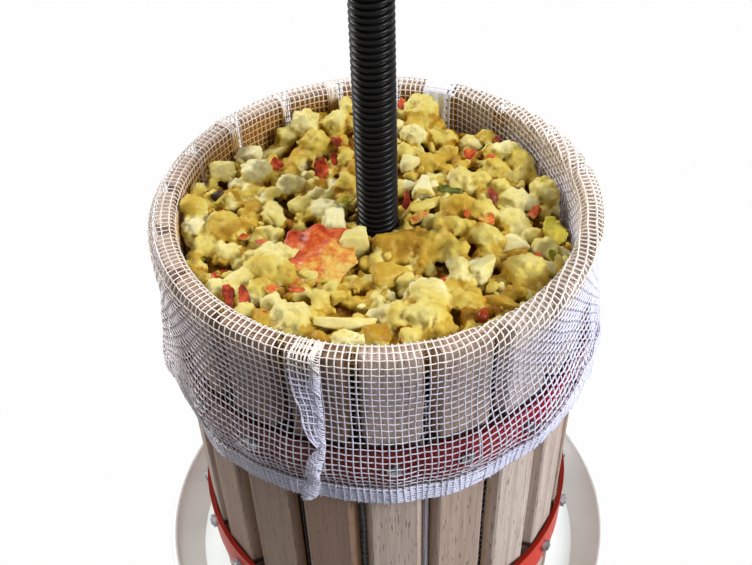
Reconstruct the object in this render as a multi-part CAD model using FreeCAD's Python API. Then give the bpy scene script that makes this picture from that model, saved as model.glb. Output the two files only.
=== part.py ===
import FreeCAD, Part
import math
import os

Vector = FreeCAD.Vector
os.makedirs("parts", exist_ok=True)

# Fruit press, in millimetres. +Z is up, the spout faces -Y, and the origin is on the
# floor, on the axis of the spindle.

# basket of upright wooden slats
slat_count = 20
slat_pitch = 360 / slat_count
first_slat = 2.0  # degrees from the front (-Y) towards +X
slat_outer_face = 126.4  # distance of the flat outer face from the axis
slat_thickness = 8.8
slat_outer_width = 28.0
slat_inner_width = 33.4
slat_edge = 1.0  # chamfer along the four long edges
basket_height = 328.0

# tray that catches the juice
tray_floor = 150.0  # height of the tray's floor above the ground
tray_sheet = 1.2
tray_bend_radius = 144.4  # where the floor turns up into the sloping wall
tray_bead_radius = 164.6
tray_bead_height = 19.8
tray_bead = 2.4  # radius of the rolled edge
spout_width = 46.0
spout_wall = 18.0
spout_reach = 216.0
spout_fall = 0.09  # drop per unit of length

# threaded spindle, which stands still
spindle_radius = 12.0
thread_pitch = 4.0
thread_root = 9.9
spindle_bottom = 112.0
spindle_top = 846.0
bore_clearance = 0.05

# steel hoops round the basket
hoop_inner = 127.4
hoop_sheet = 3.0
hoop_height = 30.0
hoop_below_rim = (83.5, 254.0)  # hoop centres, measured down from the rim

# press head, parked at the top of the spindle
board_above_rim = 192.0
board_radius = 110.0
board_thickness = 20.0
board_bore = 14.0
board_gap = 1.0
block_height = 35.0
block_width = 30.0
block_length = 160.0
lower_block_offset = 45.0
upper_block_offset = 32.0
yoke_size = (124.0, 98.0, 8.0)
washer_thickness = 3.0
head_gap = 0.1  # axial play between the turning nut and what it bears on
flange_radius = 30.0
flange_height = 8.0
neck_radius = 22.0
neck_height = 5.6
hub_radius = 27.0
nut_height = 61.9
arm_height = 39.9  # arm axis above the underside of the nut
arm_radius = 8.0
arm_reach = 228.0
arm_socket = 17.5  # closed end of the blind hole in the nut
boss_radius = 13.0
boss_reach = 50.0
keeper_radius = 42.0
keeper_lip = 5.0
grip_start = 118.0
grip_end = 234.0
grip_radius = 14.5

# three legs bent from flat bar, and what joins them
leg_angles = {"leg_back": 90.0, "leg_left": 210.0, "leg_right": 330.0}
bar_width = 30.0
bar_thickness = 6.0
leg_inner = 22.0
leg_knee = 150.0
leg_ankle = 196.0
leg_toe = 236.0
foot_hole_circle = 222.0
foot_hole = 4.5
base_bolt_circles = (38.0, 100.0)

# fasteners: radii of shanks and of the holes they pass through
m8_shank = 4.0
m8_hole = 4.3
m6_shank = 3.0
m6_tapped = 3.02
m5_shank = 2.5
m5_hole = 2.7
nut_bore_play = 0.02
hub_plate_radius = 60.0

rim = tray_floor + basket_height
tray_under = tray_floor - tray_sheet
arm_under = tray_under - bar_thickness
hub_under = arm_under - bar_thickness
slat_inner_face = slat_outer_face - slat_thickness
board_under = rim + board_above_rim
lower_block_z = board_under + board_thickness
upper_block_z = lower_block_z + block_height
yoke_z = upper_block_z + block_height
washer_z = yoke_z + yoke_size[2]
nut_z = washer_z + washer_thickness + head_gap
axis_up = Vector(0, 0, 1)
axis_out = Vector(1, 0, 0)


def save(shape, name):
    shape.exportStep("parts/" + name + ".step")
    print(name, "solids", len(shape.Solids), "valid", shape.isValid(), round(shape.Volume))


def tube(outer, inner, low, high):
    body = Part.makeCylinder(outer, high - low, Vector(0, 0, low))
    return body.cut(Part.makeCylinder(inner, high - low + 2, Vector(0, 0, low - 1)))


def spun(points):
    """A solid turned round the Z axis from a closed outline of (radius, height) points."""
    corners = [Vector(r, 0, z) for r, z in points]
    outline = Part.makePolygon(corners + corners[:1])
    return Part.Face(outline).revolve(Vector(0, 0, 0), axis_up, 360)


def turned(shape, degrees):
    copy = shape.copy()
    copy.rotate(Vector(0, 0, 0), axis_up, degrees)
    return copy


def moved(shape, x, y, z):
    copy = shape.copy()
    copy.translate(Vector(x, y, z))
    return copy


def hexagon(across_flats, height, bore):
    """A hexagonal nut with its corners broken, standing on z = 0."""
    corner = across_flats / math.sqrt(3)
    points = [
        Vector(corner * math.cos(math.radians(a)), corner * math.sin(math.radians(a)), 0)
        for a in range(0, 360, 60)
    ]
    prism = Part.Face(Part.makePolygon(points + points[:1])).extrude(Vector(0, 0, height))
    slope = (corner - across_flats / 2) * 0.6
    barrel = spun(
        [
            (0, 0),
            (corner - slope, 0),
            (corner, slope),
            (corner, height - slope),
            (corner - slope, height),
            (0, height),
        ]
    )
    nut = prism.common(barrel)
    if bore:
        nut = nut.cut(Part.makeCylinder(bore, height + 2, Vector(0, 0, -1)))
    return nut


def dome_bolt(shank, head_radius, head_height, length):
    """A bolt hanging down from z = 0 with a low domed head above it."""
    sphere_radius = (head_radius**2 + head_height**2) / (2 * head_height)
    ball = Part.makeSphere(sphere_radius, Vector(0, 0, head_height - sphere_radius))
    head = ball.common(Part.makeCylinder(head_radius, head_height, Vector(0, 0, 0)))
    tip = shank * 0.3
    stem = spun([(0, 0), (shank, 0), (shank, tip - length), (shank - tip, -length), (0, -length)])
    return head.fuse(stem).removeSplitter()


def offset_corners(path, distance):
    """The open path moved sideways, with mitred corners, to its left for a positive distance."""
    moved_points = []
    for i, (x, y) in enumerate(path):
        normals = []
        for a, b in ((i - 1, i), (i, i + 1)):
            if a >= 0 and b < len(path):
                dx = path[b][0] - path[a][0]
                dy = path[b][1] - path[a][1]
                size = math.hypot(dx, dy)
                normals.append((-dy / size, dx / size))
        nx = sum(n[0] for n in normals)
        ny = sum(n[1] for n in normals)
        scale = distance * len(normals) / (nx * nx + ny * ny) if len(normals) > 1 else distance
        moved_points.append((x + nx * scale, y + ny * scale))
    return moved_points


def rounded_edges(path, radii):
    """Straight and arc edges along an open path in the XZ plane, one bend radius per inner point."""
    edges = []
    last = Vector(path[0][0], 0, path[0][1])
    for i, radius in enumerate(radii, start=1):
        corner = Vector(path[i][0], 0, path[i][1])
        before = (Vector(path[i - 1][0], 0, path[i - 1][1]) - corner).normalize()
        after = (Vector(path[i + 1][0], 0, path[i + 1][1]) - corner).normalize()
        half = before.getAngle(after) / 2
        back = radius / math.tan(half)
        inward = (before + after).normalize()
        middle = corner + inward * (radius / math.sin(half) - radius)
        start = corner + before * back
        end = corner + after * back
        edges.append(Part.LineSegment(last, start).toShape())
        edges.append(Part.Arc(start, middle, end).toShape())
        last = end
    edges.append(Part.LineSegment(last, Vector(path[-1][0], 0, path[-1][1])).toShape())
    return edges


def bent_strip(path, radii, thickness, width):
    """Flat bar bent along a path in the XZ plane; the radii are those of its middle line."""
    sides = []
    for side in (1, -1):
        edge_radii = []
        for i, radius in enumerate(radii, start=1):
            ax = path[i][0] - path[i - 1][0]
            az = path[i][1] - path[i - 1][1]
            bx = path[i + 1][0] - path[i][0]
            bz = path[i + 1][1] - path[i][1]
            left_turn = ax * bz - az * bx > 0
            inner = left_turn == (side > 0)
            edge_radii.append(radius - thickness / 2 if inner else radius + thickness / 2)
        sides.append(rounded_edges(offset_corners(path, side * thickness / 2), edge_radii))
    first, second = sides
    caps = [
        Part.LineSegment(first[0].Vertexes[0].Point, second[0].Vertexes[0].Point).toShape(),
        Part.LineSegment(first[-1].Vertexes[-1].Point, second[-1].Vertexes[-1].Point).toShape(),
    ]
    outline = Part.Wire(Part.__sortEdges__(first + second + caps))
    strip = Part.Face(outline).extrude(Vector(0, width, 0))
    strip.translate(Vector(0, -width / 2, 0))
    return strip


def block(length, width, height, x, y, z):
    """A rectangular bar centred on (x, y) and standing on z, with its edges broken."""
    bar = Part.makeBox(length, width, height, Vector(x - length / 2, y - width / 2, z))
    return bar.makeChamfer(1.2, bar.Edges)


# Base: three legs, the hub plate and spacer under the tray, and their bolts


def leg():
    path = [
        (leg_inner, arm_under + bar_thickness / 2),
        (leg_knee, arm_under + bar_thickness / 2),
        (leg_ankle, bar_thickness / 2),
        (leg_toe, bar_thickness / 2),
    ]
    bar = bent_strip(path, (25.0, 18.0), bar_thickness, bar_width)
    for radius in base_bolt_circles:
        bar = bar.cut(Part.makeCylinder(m8_hole, 20, Vector(radius, 0, arm_under - 5)))
    return bar.cut(Part.makeCylinder(foot_hole, 20, Vector(foot_hole_circle, 0, -5)))


def base():
    for name, angle in leg_angles.items():
        save(turned(leg(), angle), name)
    hub = tube(hub_plate_radius, spindle_radius + 0.4, hub_under, arm_under)
    bolts = []
    nuts = []
    for angle in leg_angles.values():
        hole = Part.makeCylinder(m8_hole, 20, Vector(base_bolt_circles[0], 0, hub_under - 5))
        hub = hub.cut(turned(hole, angle))
        for radius, under in zip(base_bolt_circles, (hub_under, arm_under)):
            bolt = dome_bolt(m8_shank, 8.0, 3.2, tray_floor - under + 9)
            bolts.append(turned(moved(bolt, radius, 0, tray_floor), angle))
            nut = hexagon(13, 6.5, m8_shank + nut_bore_play)
            nuts.append(turned(moved(nut, radius, 0, under - 6.5), angle))
    save(hub, "hub_plate")
    save(tube(20.0, spindle_radius + 0.4, arm_under, tray_under), "hub_spacer")
    save(Part.makeCompound(bolts), "base_bolts")
    save(Part.makeCompound(nuts), "base_nuts")


# Tray of pressed sheet with a rolled edge, and the channel that pours the juice


def tray_wall(outward):
    """The sloping wall as a filled cone, moved outward by a sheet's thickness or not at all."""
    slope = math.atan2(tray_bead_height, tray_bead_radius - tray_bend_radius)
    shift = outward / math.sin(slope)
    top = tray_floor + tray_bead_height
    return spun(
        [
            (0, tray_floor - outward),
            (tray_bend_radius + shift - outward / math.tan(slope), tray_floor - outward),
            (tray_bead_radius + shift, top),
            (0, top),
        ]
    )


def tray_and_spout():
    outside = tray_wall(tray_sheet)
    bowl = outside.cut(tray_wall(0.0))
    edge_z = tray_floor + tray_bead_height
    bead = Part.makeTorus(tray_bead_radius + 0.6, tray_bead, Vector(0, 0, edge_z), axis_up)
    bowl = bowl.fuse(bead).removeSplitter()
    half = spout_width / 2 - tray_sheet
    mouth = Part.makeBox(2 * half, 60, 40, Vector(-half, -190, tray_floor))
    bowl = bowl.cut(mouth)
    bowl = bowl.cut(Part.makeCylinder(spindle_radius + 0.4, 20, Vector(0, 0, tray_floor - 10)))
    for angle in leg_angles.values():
        for radius in base_bolt_circles:
            hole = Part.makeCylinder(m8_hole, 20, Vector(radius, 0, tray_floor - 10))
            bowl = bowl.cut(turned(hole, angle))
    start = -(tray_bend_radius - 4)
    length = spout_reach + start
    outer = spout_width / 2
    section = [
        (-outer, tray_under),
        (outer, tray_under),
        (outer, tray_floor + spout_wall),
        (outer - tray_sheet, tray_floor + spout_wall),
        (outer - tray_sheet, tray_floor),
        (tray_sheet - outer, tray_floor),
        (tray_sheet - outer, tray_floor + spout_wall),
        (-outer, tray_floor + spout_wall),
    ]
    corners = [Vector(x, start, z) for x, z in section]
    channel = Part.Face(Part.makePolygon(corners + corners[:1]))
    channel = channel.extrude(Vector(0, -length, -length * spout_fall))
    channel = channel.cut(outside).cut(bead)
    channel = max(channel.Solids, key=lambda solid: solid.Volume)
    save(bowl, "juice_tray")
    save(channel, "juice_spout")


# Spindle with its thread as a row of ridges, and the nuts that clamp it to the base


def spindle():
    chamfer = 2.0
    outline = [(0, spindle_bottom), (thread_root, spindle_bottom)]
    crest = 0.3 * thread_pitch
    flank = 0.2 * thread_pitch
    turns = int((spindle_top - spindle_bottom - 2 * chamfer) / thread_pitch)
    for turn in range(turns):
        z = spindle_bottom + chamfer + turn * thread_pitch
        outline += [
            (thread_root, z),
            (spindle_radius, z + flank),
            (spindle_radius, z + flank + crest),
            (thread_root, z + 2 * flank + crest),
        ]
    outline += [(thread_root, spindle_top - 1), (thread_root - 1, spindle_top), (0, spindle_top)]
    save(spun(outline), "spindle")
    bore = spindle_radius + 0.03
    save(tube(22.0, bore, tray_floor, tray_floor + 1.5), "tray_seal")
    save(moved(hexagon(36, 12, bore), 0, 0, tray_floor + 1.5), "spindle_upper_nut")
    save(tube(23.0, spindle_radius + 0.4, hub_under - 3, hub_under), "spindle_lower_washer")
    save(moved(hexagon(36, 14, bore), 0, 0, hub_under - 17), "spindle_lower_nut")


# Basket: slats, hoops, one bolt and nut per slat and hoop


def slat():
    half_out = slat_outer_width / 2
    half_in = slat_inner_width / 2
    lean = (half_in - half_out) / slat_thickness * slat_edge
    side = [
        (slat_outer_face, half_out - slat_edge),
        (slat_outer_face - slat_edge, half_out + lean),
        (slat_inner_face + slat_edge, half_in - lean),
        (slat_inner_face, half_in - slat_edge),
    ]
    section = side + [(x, -y) for x, y in side[::-1]]
    corners = [Vector(x, y, tray_floor) for x, y in section]
    plank = Part.Face(Part.makePolygon(corners + corners[:1])).extrude(Vector(0, 0, basket_height))
    for below in hoop_below_rim:
        z = rim - below
        plank = plank.cut(Part.makeCylinder(m5_hole, 40, Vector(slat_inner_face - 5, 0, z), axis_out))
        sink = Part.makeCone(5.0, m5_hole, 2.5, Vector(slat_inner_face, 0, z), axis_out)
        plank = plank.cut(sink)
    return plank


def hoop(below):
    z = rim - below
    outer = hoop_inner + hoop_sheet
    band = tube(outer, hoop_inner, z - hoop_height / 2, z + hoop_height / 2)
    for k in range(slat_count):
        hole = Part.makeCylinder(m5_hole, 20, Vector(hoop_inner - 8, 0, z), axis_out)
        band = band.cut(turned(hole, first_slat - 90 + slat_pitch * k))
    return band


def basket():
    angles = [first_slat - 90 + slat_pitch * k for k in range(slat_count)]
    plank = slat()
    for k, angle in enumerate(angles, start=1):
        save(turned(plank, angle), f"slat_{k:02d}")
    save(hoop(hoop_below_rim[0]), "hoop_upper")
    save(hoop(hoop_below_rim[1]), "hoop_lower")
    nut_start = hoop_inner + hoop_sheet + 0.1
    nut_height = 2.7
    tip = nut_start + nut_height + 1.1
    sunk = slat_inner_face + 0.02
    head = Part.makeCone(4.8, m5_shank, 2.4, Vector(sunk, 0, 0), axis_out)
    shank = Part.makeCylinder(m5_shank, tip - sunk - 1, Vector(sunk + 1, 0, 0), axis_out)
    bolt = head.fuse(shank).removeSplitter()
    nut = hexagon(8, nut_height, m5_shank + nut_bore_play)
    nut.rotate(Vector(0, 0, 0), Vector(0, 1, 0), 90)
    nut.translate(Vector(nut_start, 0, 0))
    bolts = []
    nuts = []
    for below in hoop_below_rim:
        for angle in angles:
            bolts.append(turned(moved(bolt, 0, 0, rim - below), angle))
            nuts.append(turned(moved(nut, 0, 0, rim - below), angle))
    save(Part.makeCompound(bolts), "hoop_bolts")
    save(Part.makeCompound(nuts), "hoop_nuts")


# Press bag that lines the basket and folds over its rim, and the crushed fruit in it


def bag_and_fruit():
    cloth = 1.0
    floor = tray_floor + 5.0
    liner = slat_inner_face - 1.4
    hoop_edge = hoop_inner + hoop_sheet
    path = [
        (24.0, floor),
        (liner, floor),
        (liner, rim - 1.0),
        (liner + 2.0, rim + 1.2),
        (slat_outer_face + 1.2, rim + 1.4),
        (slat_outer_face + 3.2, rim - 1.5),
        (hoop_edge + 0.8, rim - 40.0),
        (hoop_edge + 4.8, rim - 62.0),
        (hoop_edge + 6.4, rim - 108.0),
    ]
    loop = offset_corners(path, cloth / 2) + offset_corners(path, -cloth / 2)[::-1]
    save(spun(loop), "press_bag")
    inner = spindle_radius + 1.2
    outer = liner - 1.0
    fruit = [
        (23.5, floor + 0.9),
        (outer, floor + 0.9),
        (outer, rim - 31.0),
        (100.0, rim - 24.0),
        (75.0, rim - 18.0),
        (40.0, rim - 13.0),
        (inner, rim - 14.0),
        (inner, tray_floor + 15.0),
        (23.5, tray_floor + 15.0),
    ]
    save(spun(fruit), "fruit_mash")


# Press head: two half boards, crossed wooden blocks, yoke plate, and the captive nut


def bolt_places():
    """The four crossings of the lower and upper blocks."""
    across = (-lower_block_offset, lower_block_offset)
    along = (-upper_block_offset, upper_block_offset)
    return [(x, y) for x in across for y in along]


def drilled(shape, radius, low, high):
    for x, y in bolt_places():
        shape = shape.cut(Part.makeCylinder(radius, high - low, Vector(x, y, low)))
    return shape


def boards():
    disc = Part.makeCylinder(board_radius, board_thickness, Vector(0, 0, board_under))
    disc = disc.makeChamfer(2.0, [edge for edge in disc.Edges if edge.isClosed()])
    disc = disc.cut(Part.makeCylinder(board_bore, 60, Vector(0, 0, board_under - 10)))
    disc = drilled(disc, m8_hole, board_under - 1, lower_block_z + 1)
    disc = drilled(disc, 9.6, board_under - 1, board_under + 5.5)
    size = 2 * board_radius + 20
    for name, y in (("press_board_front", -size - board_gap / 2), ("press_board_back", board_gap / 2)):
        half = Part.makeBox(size, size, 60, Vector(-size / 2, y, board_under - 10))
        save(disc.common(half), name)


def blocks():
    names = {
        "block_lower_left": (block_width, block_length, -lower_block_offset, 0, lower_block_z),
        "block_lower_right": (block_width, block_length, lower_block_offset, 0, lower_block_z),
        "block_upper_front": (block_length, block_width, 0, -upper_block_offset, upper_block_z),
        "block_upper_back": (block_length, block_width, 0, upper_block_offset, upper_block_z),
    }
    for name, (length, width, x, y, z) in names.items():
        bar = block(length, width, block_height, x, y, z)
        save(drilled(bar, m8_hole, z - 1, z + block_height + 1), name)


def keeper_places():
    reach = (flange_radius + keeper_radius) / 2 + 0.5
    return [
        (reach * math.cos(math.radians(a)), reach * math.sin(math.radians(a)))
        for a in (45, 135, 225, 315)
    ]


def yoke_and_keeper():
    length, width, height = yoke_size
    plate = Part.makeBox(length, width, height, Vector(-length / 2, -width / 2, yoke_z))
    plate = plate.makeFillet(12.0, [e for e in plate.Edges if abs(e.tangentAt(0).z) > 0.9])
    plate = plate.cut(Part.makeCylinder(spindle_radius + 1, 20, Vector(0, 0, yoke_z - 5)))
    plate = drilled(plate, m8_hole, yoke_z - 1, washer_z + 1)
    for x, y in keeper_places():
        plate = plate.cut(Part.makeCylinder(m6_tapped, 20, Vector(x, y, yoke_z - 5)))
    save(plate, "yoke_plate")
    washer = tube(flange_radius, spindle_radius + 1, washer_z, washer_z + washer_thickness)
    save(washer, "thrust_washer")
    lip_z = nut_z + flange_height + 0.3
    top = lip_z + keeper_lip
    ring = spun(
        [
            (flange_radius + 1.2, washer_z),
            (keeper_radius, washer_z),
            (keeper_radius, top - 1.5),
            (keeper_radius - 1.5, top),
            (neck_radius + 0.6, top),
            (neck_radius + 0.6, lip_z),
            (flange_radius + 1.2, lip_z),
        ]
    )
    screws = []
    for x, y in keeper_places():
        ring = ring.cut(Part.makeCylinder(3.2, 40, Vector(x, y, washer_z - 5)))
        head = moved(hexagon(10, 4, 0), x, y, top)
        shank = Part.makeCylinder(m6_shank, top - yoke_z, Vector(x, y, yoke_z + 1))
        screws.append(head.fuse(shank).removeSplitter())
    for name, x in (("keeper_left", -60.5), ("keeper_right", 0.5)):
        half = Part.makeBox(60, 120, 60, Vector(x, -60, washer_z - 10))
        save(ring.common(half), name)
    save(Part.makeCompound(screws), "keeper_screws")
    bolts = []
    nuts = []
    for x, y in bolt_places():
        bolt = dome_bolt(m8_shank, 9.0, 4.0, washer_z - board_under + 3)
        bolt.rotate(Vector(0, 0, 0), axis_out, 180)
        bolts.append(moved(bolt, x, y, board_under + 5.5))
        nuts.append(moved(hexagon(13, 6.5, m8_shank + nut_bore_play), x, y, washer_z))
    save(Part.makeCompound(bolts), "board_bolts")
    save(Part.makeCompound(nuts), "board_nuts")


def nut_and_arms():
    neck_z = nut_z + flange_height
    hub_z = neck_z + neck_height
    top = nut_z + nut_height
    body = spun(
        [
            (0, nut_z),
            (flange_radius, nut_z),
            (flange_radius, neck_z),
            (neck_radius, neck_z),
            (neck_radius, hub_z),
            (hub_radius, hub_z),
            (hub_radius, top - 2),
            (hub_radius - 2, top),
            (0, top),
        ]
    )
    arm_z = nut_z + arm_height
    screw_x = 38.0
    pad_top = arm_z + 15.0
    screws = []
    boss = Part.makeCylinder(boss_radius, 2 * boss_reach, Vector(-boss_reach, 0, arm_z), axis_out)
    body = body.fuse(boss.makeChamfer(1.5, [edge for edge in boss.Edges if edge.isClosed()]))
    for side in (-1, 1):
        body = body.fuse(Part.makeCylinder(7.5, 15, Vector(side * screw_x, 0, arm_z)))
    body = body.removeSplitter()
    bore = spindle_radius + bore_clearance
    body = body.cut(Part.makeCylinder(bore, nut_height + 2, Vector(0, 0, nut_z - 1)))
    for side, name in ((-1, "left"), (1, "right")):
        outward = Vector(side, 0, 0)
        socket = Vector(side * arm_socket, 0, arm_z)
        body = body.cut(Part.makeCylinder(arm_radius + 0.03, 60, socket, outward))
        body = body.cut(Part.makeCylinder(m6_tapped, 30, Vector(side * screw_x, 0, arm_z)))
        inner_end = arm_socket + 0.5
        start = Vector(side * inner_end, 0, arm_z)
        arm = Part.makeCylinder(arm_radius, arm_reach - inner_end, start, outward)
        save(arm.makeChamfer(1.0, [edge for edge in arm.Edges if edge.isClosed()]), "arm_" + name)
        grip = spun(
            [
                (0, grip_start),
                (grip_radius - 2.0, grip_start),
                (grip_radius - 0.5, grip_start + 2),
                (grip_radius, (grip_start + grip_end) / 2),
                (grip_radius - 0.5, grip_end - 6),
                (grip_radius - 5.0, grip_end),
                (0, grip_end),
            ]
        )
        depth = arm_reach + 0.5 - grip_start
        hole = Part.makeCylinder(arm_radius + 0.03, depth + 5, Vector(0, 0, grip_start - 5))
        grip = grip.cut(hole)
        grip.rotate(Vector(0, 0, 0), Vector(0, 1, 0), 90 * side)
        save(moved(grip, 0, 0, arm_z), "grip_" + name)
        head = moved(hexagon(11, 5, 0), side * screw_x, 0, pad_top)
        shank_low = arm_z + arm_radius + 0.2
        foot = Vector(side * screw_x, 0, shank_low)
        shank = Part.makeCylinder(m6_shank, pad_top + 1 - shank_low, foot)
        screws.append(head.fuse(shank).removeSplitter())
    save(body, "press_nut")
    save(Part.makeCompound(screws), "arm_screws")


base()
tray_and_spout()
spindle()
basket()
bag_and_fruit()
boards()
blocks()
yoke_and_keeper()
nut_and_arms()
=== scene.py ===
import math
import random

import bmesh
import bpy
from mathutils import Matrix, Vector, noise
from mathutils.kdtree import KDTree


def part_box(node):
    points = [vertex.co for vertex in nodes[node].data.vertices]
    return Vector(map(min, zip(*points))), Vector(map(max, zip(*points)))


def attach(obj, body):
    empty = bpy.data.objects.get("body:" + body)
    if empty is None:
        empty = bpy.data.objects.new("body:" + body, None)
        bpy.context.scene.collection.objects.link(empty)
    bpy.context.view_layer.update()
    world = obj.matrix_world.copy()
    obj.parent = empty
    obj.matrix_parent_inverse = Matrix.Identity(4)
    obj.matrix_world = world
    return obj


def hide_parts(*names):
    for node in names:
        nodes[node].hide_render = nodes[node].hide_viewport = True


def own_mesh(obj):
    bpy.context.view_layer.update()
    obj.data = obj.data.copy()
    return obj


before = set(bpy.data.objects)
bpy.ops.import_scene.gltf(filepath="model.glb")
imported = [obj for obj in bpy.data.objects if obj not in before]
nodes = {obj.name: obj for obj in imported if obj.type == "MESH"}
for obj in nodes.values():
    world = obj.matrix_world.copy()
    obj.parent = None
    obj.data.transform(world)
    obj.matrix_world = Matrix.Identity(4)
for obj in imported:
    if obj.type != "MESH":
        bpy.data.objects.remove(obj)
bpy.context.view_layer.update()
mm = 0.001
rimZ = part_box("slat_01")[1].z
print("frame loaded:", len(nodes), "nodes, rim at", round(rimZ, 4))


# shader helpers


def linear(code):
    # sRGB hex code to linear colour
    parts = [int(code[i:i + 2], 16) / 255 for i in (1, 3, 5)]
    parts = [c / 12.92 if c <= 0.04045 else ((c + 0.055) / 1.055) ** 2.4 for c in parts]
    return (*parts, 1.0)


def addNode(tree, kind, inputs=None, **settings):
    node = tree.nodes.new("ShaderNode" + kind)
    for key, value in settings.items():
        setattr(node, key, value)
    for key, value in (inputs or {}).items():
        if isinstance(value, bpy.types.NodeSocket):
            tree.links.new(value, node.inputs[key])
        else:
            node.inputs[key].default_value = value
    return node


def calculate(tree, operation, *values):
    return addNode(tree, "Math", dict(enumerate(values)), operation=operation).outputs[0]


def mapRange(tree, value, fromMin, fromMax, toMin=0.0, toMax=1.0):
    limits = {"From Min": fromMin, "From Max": fromMax, "To Min": toMin, "To Max": toMax}
    return addNode(tree, "MapRange", {"Value": value, **limits}).outputs[0]


def blend(tree, factor, first, second, mode="MIX"):
    # both colours are sockets or hex codes
    first, second = [linear(c) if isinstance(c, str) else c for c in (first, second)]
    inputs = {"Factor": factor, "A": first, "B": second}
    return addNode(tree, "Mix", inputs, data_type="RGBA", blend_type=mode).outputs["Result"]


def addRamp(tree, factor, stops, interpolation="LINEAR"):
    # stops: (position, hex colour)
    node = addNode(tree, "ValToRGB", {"Fac": factor})
    ramp = node.color_ramp
    ramp.interpolation = interpolation
    while len(ramp.elements) < len(stops):
        ramp.elements.new(0.5)
    for element, (place, code) in zip(ramp.elements, stops):
        element.position = place
        element.color = linear(code)
    return node.outputs["Color"]


def objectPlace(tree):
    return addNode(tree, "TexCoord").outputs["Object"]


def scaled(tree, vector, scale, turn=(0, 0, 0)):
    # stretches a pattern along the axes, for grain and brushing
    return addNode(tree, "Mapping", {"Vector": vector, "Scale": scale, "Rotation": turn}).outputs[0]


def noiseTexture(tree, vector, scale, detail, **more):
    return addNode(tree, "TexNoise", {"Vector": vector, "Scale": scale, "Detail": detail, **more}).outputs[0]


def splitAxes(tree, vector):
    return addNode(tree, "SeparateXYZ", {0: vector}).outputs


def axisDistance(tree, x, y):
    flat = addNode(tree, "CombineXYZ", {0: x, 1: y}).outputs[0]
    return addNode(tree, "VectorMath", {0: flat}, operation="LENGTH").outputs["Value"]


def readValue(tree, name):
    return addNode(tree, "Attribute", attribute_name=name).outputs["Fac"]


# camera, light and floor

view = {
    "place": (0.0, -0.46298, 0.84586),
    "turn": 0.0053,
    "down": 0.7546,
    "roll": -0.0348,
    "lens": 48.88,
}
lamps = {  # place, size, power, colour, target
    "keyLight": ((1.16, -0.59, 1.24), 0.7, 26.0, (0.96, 0.98, 1.0), (0, 0, 0.44)),
    "backLight": ((-1.1, 0.78, 1.42), 0.9, 26.0, (1.0, 0.99, 0.97), (0, 0, 0.44)),
    "topLight": ((0.0, -0.15, 2.3), 1.8, 16.0, (1.0, 0.99, 0.97), (0, 0, 0.3)),
}
room = {
    "colour": (0.97, 0.98, 1.0, 1),
    "strength": 0.18,
    "floorRadius": 8,
    "floorWhite": 0.985,
}


def setCamera():
    data = bpy.data.cameras.new("pressCamera")
    data.lens = view["lens"]
    data.sensor_width = 36.0
    data.clip_start = 0.01
    camera = bpy.data.objects.new("pressCamera", data)
    bpy.context.collection.objects.link(camera)
    turn = Matrix.Rotation(view["turn"], 4, "Z")
    tilt = Matrix.Rotation(math.pi / 2 - view["down"], 4, "X")
    roll = Matrix.Rotation(view["roll"], 4, "Z")
    camera.matrix_world = Matrix.Translation(view["place"]) @ turn @ tilt @ roll
    bpy.context.scene.camera = camera


def areaLight(name, place, size, power, colour, target):
    data = bpy.data.lights.new(name, "AREA")
    data.shape = "DISK"
    data.size = size
    data.energy = power
    data.color = colour
    lamp = bpy.data.objects.new(name, data)
    bpy.context.collection.objects.link(lamp)
    lamp.location = place
    lamp.rotation_euler = (Vector(target) - Vector(place)).to_track_quat("-Z", "Y").to_euler()


def seenDirectly(tree, *kinds):
    # 1 for rays that look at the surroundings, 0 for those that carry their light
    path = addNode(tree, "LightPath")
    seen = path.outputs[kinds[0]]
    for kind in kinds[1:]:
        seen = calculate(tree, "MAXIMUM", seen, path.outputs[kind])
    return seen


def setStage():
    world = bpy.data.worlds.new("studio")
    bpy.context.scene.world = world
    world.use_nodes = True
    tree = world.node_tree
    tree.nodes.clear()
    seen = seenDirectly(tree, "Is Camera Ray", "Is Glossy Ray", "Is Transmission Ray")
    dim = addNode(tree, "Background", {"Color": room["colour"], "Strength": room["strength"]})
    white = addNode(tree, "Background", {"Color": (1, 1, 1, 1), "Strength": 1.0})
    both = addNode(tree, "MixShader", {0: seen, 1: dim.outputs[0], 2: white.outputs[0]})
    addNode(tree, "OutputWorld", {"Surface": both.outputs[0]})

    bm = bmesh.new()
    bmesh.ops.create_circle(bm, cap_ends=True, cap_tris=False, segments=64, radius=room["floorRadius"])
    mesh = bpy.data.meshes.new("floor")
    bm.to_mesh(mesh)
    bm.free()
    floor = bpy.data.objects.new("floor", mesh)
    bpy.context.collection.objects.link(floor)
    material = bpy.data.materials.new("pale floor")
    material.use_nodes = True
    tree = material.node_tree
    tree.nodes.clear()
    seen = seenDirectly(tree, "Is Camera Ray", "Is Glossy Ray")
    share = calculate(tree, "MULTIPLY", seen, room["floorWhite"])
    matte = addNode(tree, "BsdfDiffuse", {"Color": linear("#7E7E7E")})
    white = addNode(tree, "Emission", {"Color": (1, 1, 1, 1), "Strength": 1.0})
    both = addNode(tree, "MixShader", {0: share, 1: matte.outputs[0], 2: white.outputs[0]})
    addNode(tree, "OutputMaterial", {"Surface": both.outputs[0]})
    mesh.materials.append(material)

    for name, settings in lamps.items():
        areaLight(name, *settings)
    bpy.context.scene.view_settings.view_transform = "Standard"


setCamera()
setStage()
print("camera, floor and lights placed")


# materials, each named for its real finish


def newMaterial(name, **inputs):
    material = bpy.data.materials.new(name)
    material.use_nodes = True
    tree = material.node_tree
    shader = tree.nodes["Principled BSDF"]
    for key, value in inputs.items():
        shader.inputs[key.replace("_", " ")].default_value = value
    return material, tree, shader


def feed(tree, shader, **sockets):
    for key, socket in sockets.items():
        tree.links.new(socket, shader.inputs[key.replace("_", " ")])


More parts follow.
